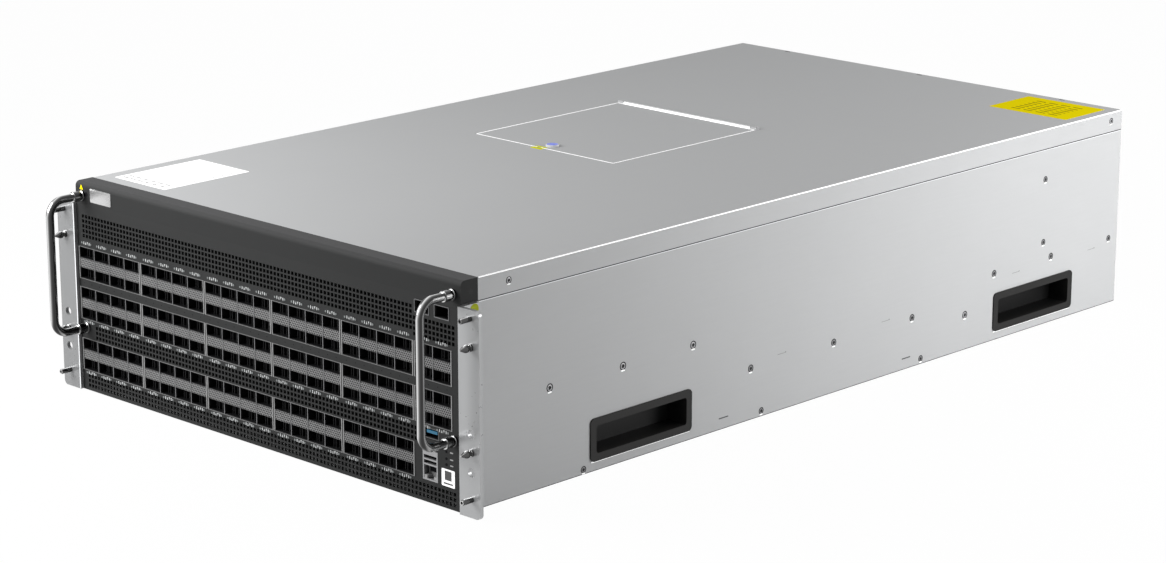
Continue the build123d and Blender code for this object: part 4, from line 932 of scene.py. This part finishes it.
def beside(side):
    """A place at the given distance from the middle of each port column's mark."""
    return [(middle + side, FRONT, height) for middle, height in middles]


def both_sides(side):
    """Both places at the given distance from the middle, column by column."""
    return [place for pair in zip(beside(-side), beside(side)) for place in pair]


mark_shapes = [
    stamp(arrow_up, beside(-ARROW_SIDE), "front", PRINT),
    stamp(arrow_down, beside(ARROW_SIDE), "front", PRINT),
    stamp(rounded(1.0, 2.3, 0.3), both_sides(BLOCK_SIDE), "front", PRINT),
]
make_piece("port_marks", mark_shapes, print_white, "cage_metal")
plates("port_lights", (1.6, 1.6, 0.5), both_sides(LIGHT_SIDE), "front", 0.35, light_pipe, smooth=True)

# %% [markdown]
# The lift handles are polished rods bent with a constant radius. The path is two short arms, two quarter
# circles and a long run, and the bar helper carries a fine circle along it. The CAD has the same rod
# with fewer sides, so the smooth one stands for it.

# %% Lift handles
HANDLE_X = 212.0
HANDLE_LOW = 53.0
HANDLE_HIGH = 161.3
HANDLE_REACH = 32.0
HANDLE_RADIUS = 3.2
HANDLE_ROOT = 9
HANDLE_ARM = 10
BEND = 12.0
BEND_POINTS = 13


def handle_path(x):
    """Straight arms at both heights joined by quarter circles of the bend radius."""
    turn = np.radians(np.linspace(0, 90, BEND_POINTS))
    middle_y = FRONT - HANDLE_REACH + BEND
    middle_z = HANDLE_LOW + BEND
    y, z = middle_y - BEND * np.sin(turn), middle_z - BEND * np.cos(turn)
    low = np.stack([np.full(BEND_POINTS, x), y, z], 1)
    high = low[::-1] * (1, 1, -1) + (0, 0, HANDLE_LOW + HANDLE_HIGH)
    start = [(x, FRONT + HANDLE_ROOT, HANDLE_LOW), (x, FRONT - HANDLE_ARM, HANDLE_LOW)]
    end = [(x, FRONT - HANDLE_ARM, HANDLE_HIGH), (x, FRONT + HANDLE_ROOT, HANDLE_HIGH)]
    return np.concatenate([start, low, high, end])


def polished_piece(name, shapes, look, stands_for):
    """A smooth piece of polished steel that stands for CAD nodes."""
    return make_piece(name, shapes, look, "polished_steel", smooth=True, stands_for=stands_for)


rods = [bar(handle_path(side * HANDLE_X), HANDLE_RADIUS) for side in (-1, 1)]
polished_piece("lift_rods", rods, polished, ["handle_left", "handle_right"])

# %% [markdown]
# The handles end in grooved ferrules. The ears carry plain guide pins with a drilled end, and pointed
# studs with a neck that a latch grips. All are lathe work, so each is one profile turned at four places,
# with a root that goes into the ear.

# %% Turned parts on the front
PIN_HEIGHTS = (14.45, 147.92)
STUD_HEIGHTS = (49.36, 126.94)
FERRULE = (
    *((3.25, 0), (4.3, 0), (4.3, 1.7), (4.0, 2.0), (3.7, 2.1), (3.7, 3.9), (4.0, 4.0)),
    *((4.3, 4.3), (4.3, 9.5), (3.9, 10.0), (3.25, 10.0)),
)
PIN = ((1.4, -3), (1.4, 0), (2.1, 0.02), (2.1, 9.5), (1.8, 10.0), (1.1, 10.0), (1.05, 7.2), (0.9, 7.0))
STUD = (
    *((1.4, -3), (1.4, 0), (2.9, 0.02), (2.9, 1.5), (2.7, 1.7), (2.1, 1.8), (2.1, 3.0)),
    *((2.7, 3.1), (2.9, 3.4), (2.9, 5.4), (0.6, 10.4), (0.2, 10.5)),
)


def four_places(x, y, heights):
    """A place at each height on the left and on the right."""
    return [(side * x, y, height) for side in (-1, 1) for height in heights]


ferrules = turned(FERRULE, four_places(HANDLE_X, FRONT, (HANDLE_LOW, HANDLE_HIGH)), "front", 32)
polished_piece("rod_ferrules", [ferrules], polished, ["handle_ferrules"])
pins = turned(PIN, four_places(HOLE_SPAN / 2, EAR_FACE, PIN_HEIGHTS), "front", 28)
polished_piece("guide_pins", [pins], pin_metal_painted_reflection, ["ear_guide_pins"])
studs = turned(STUD, four_places(HOLE_SPAN / 2, EAR_FACE, STUD_HEIGHTS), "front", 28)
polished_piece("locating_studs", [studs], pin_metal_painted_reflection, ["ear_locating_studs"])

# %% [markdown]
# Two kinds of flush head sit in the side walls: pale pressed studs and darker screws. Each has a thin dark
# groove round it and a star-shaped recess, both dark with painted shade, and a painted highlight below, a
# bright crescent where its seat catches the light. They are a few pixels wide in the picture, so each is
# four shapes with few faces. The left wall is taken to be the same as the right one.

# %% Places on the walls
STUDS = ((88.5, 74.8), (165.9, 74.7), (243.4, 74.8), (580.8, 30.3))
SCREWS = ((310.2, 41.8), (410.4, 41.9), (510.0, 42.1), (619.5, 58.5), (699.3, 58.5))
SMALL_SCREWS = (
    *((323.3, 4.5), (123.7, 3.7), (522.8, 4.6)),
    *((783.7, 58.9), (687.6, 73.1), (687.5, 128.2)),
)
COVER_SCREWS = ((47.5, 163.8), (780.4, 164.3))


def on_walls(spots):
    """The same spots (distance behind the front, height) on the right and on the left wall."""
    spots = np.array(spots)
    right = np.stack([np.full(len(spots), HALF_WIDTH), FRONT + spots[:, 0], spots[:, 1]], 1)
    return {"right": right, "left": right * (-1, 1, 1)}


def both_walls(size, spots, depth):
    """Thin rounded plates of one size at the spots of both walls."""
    return [stamp(rounded(*size), places, facing, depth) for facing, places in on_walls(spots).items()]


print("right wall stud at", on_walls(STUDS)["right"][0])

# %% [markdown]
# One function makes all four kinds, since they differ only in radius and in finish. Sizes that are shares
# of the radius keep them alike. The groove is a disc of painted shade, wider than the head that stands on
# it.

# %% Wall fasteners
HEAD = np.array([(1.0, -0.9), (1.05, 0.03), (0.92, 0.16), (0.55, 0.20), (0.2, 0.14)])
HEAD_SCALE = (0.70, 0.8)
RECESS_SHARE = 0.54
RECESS_LIFT = 0.12
GLINT = (1.1, 0.34, 0.16)
GLINT_DROP = 1.02
spokes = np.arange(18)
star = disc(1)[spokes] * np.where(spokes % 3 == 0, 1.0, 0.72)[:, None]


def screw_pieces(name, spots, radius, look, stands_for=()):
    """Domed heads in thin grooves, each with a recess and a small bright crescent below it; groove and
    recess are painted shade, the crescent a painted highlight. Every width is a share of the radius."""
    heads, grooves, recesses, glints = [], [], [], []
    for facing, places in on_walls(spots).items():
        _, up, out = np.array(FACING[facing], float)
        heads.append(turned(HEAD * (radius * HEAD_SCALE[0], HEAD_SCALE[1]), places, facing, 20))
        grooves.append(stamp(disc(radius), places, facing, 0.03, sink=0.9))
        recesses.append(stamp(star * radius * RECESS_SHARE, places + out * RECESS_LIFT, facing, 0.06))
        low = places - up * radius * GLINT_DROP
        glints.append(stamp(rounded(*(radius * share for share in GLINT)), low, facing, 0.05))
    make_piece(name + "_heads", heads, look, "dark_screw", smooth=True, stands_for=stands_for)
    make_piece(name + "_grooves", grooves, screw_painted_shade, "dark_screw")
    make_piece(name + "_recesses", recesses, screw_painted_shade, "dark_screw")
    make_piece(name + "_glints", glints, painted_highlight, "chassis_steel")


screw_pieces("wall_studs", STUDS, 3.4, screw_grey, ["clinch_studs"])
screw_pieces("wall_screws", SCREWS, 3.2, screw_mid, ["side_screws"])
screw_pieces("wall_small_screws", SMALL_SCREWS, 2.9, screw_mid)
screw_pieces("cover_screws", COVER_SCREWS, 2.8, screw_grey)

# %% [markdown]
# The walls also carry short dark slots near the foot and shallow pressed dimples, each a thin line with a
# dot at its end. They are marks on the surface here, because a cut would need a new wall, and their dark is
# painted shade.

# %% Slots and dimples
SLOTS = ((279, 9.0), (503.5, 9.3))
DIMPLES = ((346.4, 46.2), (475, 46.5), (649.4, 53.8), (757.5, 53.9))
make_piece("wall_slots", both_walls((11, 1.0, 0.4), SLOTS, 0.05), ink_and_painted_shade, "dark_screw")
dots = [(along + 5.2, height + 0.3) for along, height in DIMPLES]
dimples = both_walls((9, 0.4, 0.1), DIMPLES, 0.03) + both_walls((1.2, 1.2, 0.5), dots, 0.05)
make_piece("wall_dimples", dimples, grey_print_and_painted_shade, "chassis_steel")

# %% [markdown]
# The bends of the cover carry a painted highlight, and the seam between cover and wall shows as a bright
# line over a dark one, a painted highlight and a painted shadow. A bevel with a shader for bright edges
# would depend on the render engine, so they are thin closed strips that run straight along the body.

# %% Strips along the body
STRIP_NEAR = FRONT + 18
STRIP_FAR = REAR - 0.5
STRIP_SINK = 0.3
STRIP_LIFT = 0.02


def edge_strip(profile, side):
    """An anticlockwise profile of (outward, height) points carried straight along the body. A corner is
    (side * outward, near or far end, height)."""
    profile = np.asarray(profile, float) * (side, 1)
    profile = profile[::side]
    count = len(profile)
    ends = [np.insert(profile, 1, y, axis=1) for y in (STRIP_NEAR, STRIP_FAR)]
    ring = np.arange(count)
    nxt = (ring + 1) % count
    sides = np.stack([ring, ring + count, nxt + count, nxt], 1)
    return np.concatenate(ends), [sides, np.stack([ring, ring[::-1] + count])]


def on_both_sides(*profiles):
    """Each profile as a strip along the left and along the right side."""
    return [edge_strip(profile, side) for side in (-1, 1) for profile in profiles]


def band_profile(low, high):
    """A thin closed rectangle on the face of the wall between two heights, anticlockwise."""
    inner, outer = HALF_WIDTH - STRIP_SINK, HALF_WIDTH + STRIP_LIFT
    return [(inner, low), (outer, low), (outer, high), (inner, high)]


print("a strip is", STRIP_FAR - STRIP_NEAR, "mm long")

# %% [markdown]
# The painted highlight of the bend is a slice of a pipe round the middle of the cover's bend. The bright
# seam is a painted highlight on the wall, with its painted shadow above it, under the edge of the cover. A
# second painted shadow closes the foot of the wall, and a painted highlight lies along the lower edge of
# each carry pocket.

# %% Painted highlights and shadows on bends and seams
BEND_MIDDLE = 1.2
BEND_INNER, BEND_OUTER = 0.9, 1.23
POCKET_SILLS = ((186.0, 7.15), (674.7, 7.15))
arc = np.radians(np.linspace(20, 70, 7))
round_out = np.stack([np.cos(arc), np.sin(arc)], 1)
bend = np.concatenate([round_out * BEND_OUTER, round_out[::-1] * BEND_INNER])
bend = bend + (HALF_WIDTH - BEND_MIDDLE, TOP - BEND_MIDDLE)
seam = band_profile(SEAM - 1.35, SEAM - 0.8)
shade, foot = band_profile(SEAM - 0.75, SEAM), band_profile(0.02, 0.5)
make_piece("bend_painted_highlights", on_both_sides(bend), painted_highlight, "chassis_steel", smooth=True)
make_piece("seam_painted_highlights", on_both_sides(seam), painted_seam_highlight, "chassis_steel")
make_piece("seam_shadows", on_both_sides(shade, foot), rib_black_and_painted_shadow, "chassis_steel")
glints = both_walls((108, 1.0, 0.2), POCKET_SILLS, 0.04)
make_piece("pocket_glints", glints, painted_highlight, "chassis_steel")

# %% [markdown]
# Labels are thin plates with rounded corners, and they are bare or carry plain lines. An image could
# colour them, but plates keep their edges sharp and catch the light as a real label does.

# %% Labels on the cover
LABEL = 0.12
LINE = 0.02
WHITE_MIDDLE = (-175.7, FRONT + 72.5)
YELLOW_MIDDLE = (168.7, FRONT + 756.5)
SPOT_MIDDLE = (-39.5, FRONT + 338.5)
SPOT_LIFT = 0.14
plates("cover_label_white", (63, 87, 1.5), [(*WHITE_MIDDLE, TOP)], "top", LABEL, label_white_painted_glow)
line_places = [(WHITE_MIDDLE[0] + 26.5, FRONT + y, TOP + LABEL) for y in np.arange(44, 104, 3.2)]
plates("cover_label_lines", (3.2, 0.9), line_places, "top", LINE, label_faint)
plates("cover_label_yellow", (82, 58, 1.5), [(*YELLOW_MIDDLE, TOP)], "top", LABEL, label_yellow)
plates("door_spot_yellow", (12.5, 9, 1.0), [(*SPOT_MIDDLE, TOP)], "top", SPOT_LIFT, spot_yellow)

# %% [markdown]
# The yellow label has plain bars on a grid, and the yellow spot beside the door has one. The white label
# has two rows of grey bars, and three dark ovals lie near the rear edge. The bars of one colour are one
# piece, which keeps the list of pieces short.

# %% Plain bars on the cover
YELLOW_ROWS = (737, 743, 749, 755, 761, 767, 774)
YELLOW_COLUMNS = (150, 163, 176, 189)
print_places = [(x, FRONT + y, TOP + LABEL) for y in YELLOW_ROWS for x in YELLOW_COLUMNS]
print_shapes = [
    stamp(rounded(9.5, 1.9), print_places, "top", LINE),
    stamp(rounded(5.0, 1.6, 0.3), [(*SPOT_MIDDLE, TOP + SPOT_LIFT)], "top", LINE),
]
make_piece("yellow_print", print_shapes, print_brown, "cage_metal")
pale_places = [(x, FRONT + y, TOP + LABEL) for y in (35, 41) for x in np.arange(-200, -150, 9.0)]
plates("white_print", (6.5, 1.5), pale_places, "top", LINE, grey_print_and_painted_shade)
rear_ovals = stamp(disc(1) * (3.2, 1.2), [(x, FRONT + 793, TOP) for x in (-160, -1.6, 158)], "top", 0.03)
make_piece("rear_marks", [rear_ovals], rib_black_and_painted_shadow, "dark_screw")

# %% [markdown]
# The access door lies flush in the cover, and only its bright edge and its hinge barrel at the rear show
# that it opens; the brightness of both is a painted highlight. The edge could be a wire modifier, but a
# flat ring lies exactly on the door. Both ride on the door's body, so they turn with it.

# %% Door edge with painted highlight
DOOR_MIDDLE = (-35.0, FRONT + 338.8 + 87.0)
DOOR_SIZE = (160, 174, 1.5)


def frame_ring(width, height, radius, band, place, facing, depth):
    """A flat ring between a rounded rectangle and one smaller by the band, thickened by the depth.
    The points are the lower and upper ring of the outer outline, then those of the inner one."""
    inner_size = (width - 2 * band, height - 2 * band, max(radius - band, 0.1))
    outer_points, (outer_sides, _) = stamp(rounded(width, height, radius), [place], facing, depth)
    inner_points, _ = stamp(rounded(*inner_size), [place], facing, depth)
    count = len(outer_points) // 2
    low = np.arange(count)
    nxt = (low + 1) % count
    inner_low, inner_nxt = low + 2 * count, nxt + 2 * count
    inner_sides = np.stack([inner_nxt, inner_low, inner_low + count, inner_nxt + count], 1)
    face = np.stack([low + count, nxt + count, inner_nxt + count, inner_low + count], 1)
    back = np.stack([nxt, low, inner_low, inner_nxt], 1)
    return np.concatenate([outer_points, inner_points]), [outer_sides, inner_sides, face, back]


door_edge_painted_highlight = frame_ring(*DOOR_SIZE, 0.95, (*DOOR_MIDDLE, TOP), "top", 0.15)
make_piece("door_edge_painted_highlight", [door_edge_painted_highlight], painted_highlight, "chassis_steel", body="door")

# %% [markdown]
# The hinge barrel is a straight bar across the rear edge of the door, and its bright finish is a painted
# highlight.

# %% Hinge barrel
HINGE_POINTS = 12
HINGE_ENDS = (-108.5, 38.5)
HINGE_BEHIND = 515.1
HINGE_LIFT = 0.25
hinge_x = np.linspace(*HINGE_ENDS, HINGE_POINTS)
level = np.ones(HINGE_POINTS)
hinge_path = np.column_stack([hinge_x, level * (FRONT + HINGE_BEHIND), level * (TOP + HINGE_LIFT)])
barrel = bar(hinge_path, 2.34, sides=24, side=(0, 1, 0))
make_piece("hinge_barrel", [barrel], painted_highlight, "chassis_steel", body="door", smooth=True)

# %% [markdown]
# The hood has a bare silver plate, a small yellow triangle and a dark hole at its left end, whose dark is
# painted shade, and a round mark on each side. Each is one thin shape in its own finish, which costs a few
# faces and no texture.

# %% Marks on the hood
HOOD_SIDE_SPOT = ((9.8, 163.0),)
plates(
    "name_plate", (26, 11, 1.0), [(-188.3, FRONT, 163.2)], "front", 0.5, plate_silver, "polished_steel"
)
triangle = stamp([(-2.2, -1.8), (2.2, -1.8), (0, 2.2)], [(-212.7, FRONT, 168.0)], "front", 0.06)
make_piece("static_mark", [triangle], label_yellow, "cage_metal")
hole_disc = stamp(disc(1.9), [(-206.7, FRONT, 163.0)], "front", 0.05)
make_piece("hood_hole_painted_shade", [hole_disc], black_and_painted_shade, "dark_screw")
side_places = on_walls(HOOD_SIDE_SPOT).items()
side_discs = [stamp(disc(2.2), places, facing, 0.05) for facing, places in side_places]
make_piece("hood_side_marks", side_discs, front_coat, "dark_screw")

# %% [markdown]
# The earth spot is a flat cone beside the top of the ear, and the line is a narrow upright plate of painted
# highlight along the left ear's edge.

# %% Marks on the ears
EARTH_PROFILE = ((4.2, 0), (4.2, 0.1), (3.0, 0.12))
earth = turned(EARTH_PROFILE, [(HALF_WIDTH + 2.5, FRONT + 11.0, 150.1)], "right")
make_piece("earth_spot", [earth], earth_green, "cage_metal")
line_place = (-HALF_WIDTH - 0.6, EAR_FACE, 77.5)
plates("ear_edge_painted_highlight", (1.0, 153.0, 0.2), [line_place], "front", 0.04, painted_seam_highlight)

# %% [markdown]
# Two small ports sit at the top right. Each has a folded metal rim, which is the same kind of ring as
# the edge of the door.

# %% Rims of the two small ports
rims = [frame_ring(15.2, 9.8, 0.5, 0.45, (x, FRONT, SMALL_Z), "front", 0.3) for x in SMALL_X]
make_piece("small_port_rims", rims, edge_metal, "cage_metal")

# %% [markdown]
# The network jack at the foot of the console block has eight dark contacts on a grey back and two pale
# tabs in its lower corners. They are seen only through the opening, so plain bars are enough.

# %% Network jack
JACK_Z = 23.5
JACK_BACK = FRONT + 5
CONTACT_STEP = 1.02
CONTACTS = 8
first_contact = -CONTACT_STEP * (CONTACTS - 1) / 2
jack_middle = (CONSOLE[0], JACK_BACK, JACK_Z)
plates("jack_back", (13.2, 10.2), [jack_middle], "front", 0.0, mesh_metal, sink=1.0)
contacts = [
    (CONSOLE[0] + first_contact + number * CONTACT_STEP, JACK_BACK, JACK_Z + 1.8)
    for number in range(CONTACTS)
]
plates("jack_contacts", (0.45, 4.4), contacts, "front", 1.5, black_and_painted_shade)
tabs = [(CONSOLE[0] + side * 5.1, JACK_BACK, JACK_Z - 3.9) for side in (-1, 1)]
plates("jack_tabs", (3.0, 2.4), tabs, "front", 4.7, label_faint)

# %% [markdown]
# The service port has a blue tongue, whose colour is what catches the eye on the dark front. The white
# sticker beside the console carries a plain dark block over a bar.

# %% Service port and sticker
STICKER_X = 205.3
STICKER = 0.1
tongue = (SERVICE[0], FRONT + 1.2, SERVICE[1] + 1.2)
plates("service_tongue", (11.0, 2.2, 0.4), [tongue], "front", 0.4, tongue_blue, "latch_accent", sink=10)
plates("console_sticker", (13.6, 13, 0.8), [(STICKER_X, FRONT, 23.5)], "front", STICKER, label_white_painted_glow)
sticker_marks = [
    stamp(rounded(7.0, 7.0, 0.3), [(STICKER_X, FRONT - STICKER, 25.2)], "front", 0.03),
    stamp(rounded(9.5, 1.2, 0.2), [(STICKER_X, FRONT - STICKER, 19.2)], "front", 0.03),
]
make_piece("console_sticker_mark", sticker_marks, ink_and_painted_shade, "cage_metal")

# %% [markdown]
# Three status lights stand above the sticker. They are off, so they are dark domes and need no light of
# their own. Each has a faint bar beside it.

# %% Status lights
LIGHT_HEIGHTS = (43.2, 37.9, 33.4)
LIGHT_PROFILE = ((1.1, 0), (1.1, 0.2), (0.7, 0.5))
lights = turned(LIGHT_PROFILE, [(203.5, FRONT, z) for z in LIGHT_HEIGHTS], "front", 16)
make_piece("status_lights", [lights], black_and_painted_shade, "cage_metal", smooth=True)
bars = [(209.0, FRONT, z) for z in LIGHT_HEIGHTS]
plates("status_marks", (3.2, 1.0, 0.3), bars, "front", 0.06, label_faint)

# %% [markdown]
# The floor and the room are plain and pale, as in a product photograph. A white room would light the
# object far too much, so only rays from the camera, from mirrors and through glass see it white. The
# floor keeps a few hundredths of its real shading, and with it the soft shadow of the object.


# %% White for the camera
def white_to_camera(tree, shader_output, target, amount):
    """Mix a plain white light into what camera, glossy and transmission rays see, by the amount."""
    rays = tree.nodes.new("ShaderNodeLightPath").outputs
    glow = tree.nodes.new("ShaderNodeEmission")
    seen = maths(tree, "Math", "MAXIMUM", rays["Is Glossy Ray"], rays["Is Transmission Ray"])
    any_ray = maths(tree, "Math", "MAXIMUM", seen.outputs[0], rays["Is Camera Ray"])
    share = maths(tree, "Math", "MULTIPLY", any_ray.outputs[0], amount)
    mix = tree.nodes.new("ShaderNodeMixShader")
    tree.links.new(share.outputs[0], mix.inputs["Fac"])
    tree.links.new(shader_output, mix.inputs[1])
    tree.links.new(glow.outputs[0], mix.inputs[2])
    tree.links.new(mix.outputs[0], target)


print("a surface can look white to the camera")

# %% [markdown]
# The floor is one large matt square, half a millimetre below the feet so that the two never share a
# plane.

# %% Floor
FLOOR_HALF = 12.0
FLOOR_DROP = 0.0005
floor_paint = bpy.data.materials.new("floor_paint")
floor_paint.use_nodes = True
floor_tree = floor_paint.node_tree
floor_shader = floor_tree.nodes["Principled BSDF"]
floor_shader.inputs["Base Color"].default_value = (*grey(0.80), 1)
floor_shader.inputs["Roughness"].default_value = 0.9
floor_surface = floor_tree.nodes["Material Output"].inputs["Surface"]
white_to_camera(floor_tree, floor_shader.outputs[0], floor_surface, 0.98)
floor_mesh = bpy.data.meshes.new("floor")
corners = np.array([(-1, -1, 0), (1, -1, 0), (1, 1, 0), (-1, 1, 0)]) * FLOOR_HALF - (0, 0, FLOOR_DROP)
floor_mesh.from_pydata(corners.tolist(), [], [(0, 1, 2, 3)])
floor_mesh.materials.append(floor_paint)
floor = bpy.data.objects.new("floor", floor_mesh)
bpy.context.scene.collection.objects.link(floor)
print("floor", 2 * FLOOR_HALF, "m wide")

# %% [markdown]
# The room is an even, weak light from all sides, which fills the shadows.

# %% Room
ROOM_STRENGTH = 0.19
room = bpy.data.worlds.new("room")
bpy.context.scene.world = room
room.use_nodes = True
room_tree = room.node_tree
room_light = room_tree.nodes["Background"]
room_light.inputs["Color"].default_value = (*grey(1), 1)
room_light.inputs["Strength"].default_value = ROOM_STRENGTH
room_surface = room_tree.nodes["World Output"].inputs["Surface"]
white_to_camera(room_tree, room_light.outputs[0], room_surface, 1.0)
print("room strength", ROOM_STRENGTH)

# %% [markdown]
# Three square soft lamps shape the object. The strongest stands at the front left, a small one lights the
# right wall from behind, and a weak one brightens the rear of the cover. Sun lamps would give even light,
# but the photograph's walls change in tone from front to back, which near lamps give by themselves.


# %% Lamps
def lamp(name, place, aim, size, power):
    """A square soft lamp that looks at a point, in metres and watts."""
    data = bpy.data.lights.new(name, "AREA")
    data.shape = "SQUARE"
    data.size = size
    data.energy = power
    holder = bpy.data.objects.new(name, data)
    bpy.context.scene.collection.objects.link(holder)
    holder.location = place
    holder.rotation_euler = (Vector(aim) - Vector(place)).to_track_quat("-Z", "Y").to_euler()
    print(name, "gives", power, "W")


lamp("lamp_front_left", (-0.565, -0.983, 0.634), (-0.05, -0.25, 0.10), 0.7, 16.4)
lamp("lamp_rear_right", (0.921, 0.448, 0.313), (0.22, 0.25, 0.10), 0.5, 7)
lamp("lamp_rear_above", (0.092, 1.186, 0.80), (0.0, 0.2, 0.15), 0.8, 3.8)
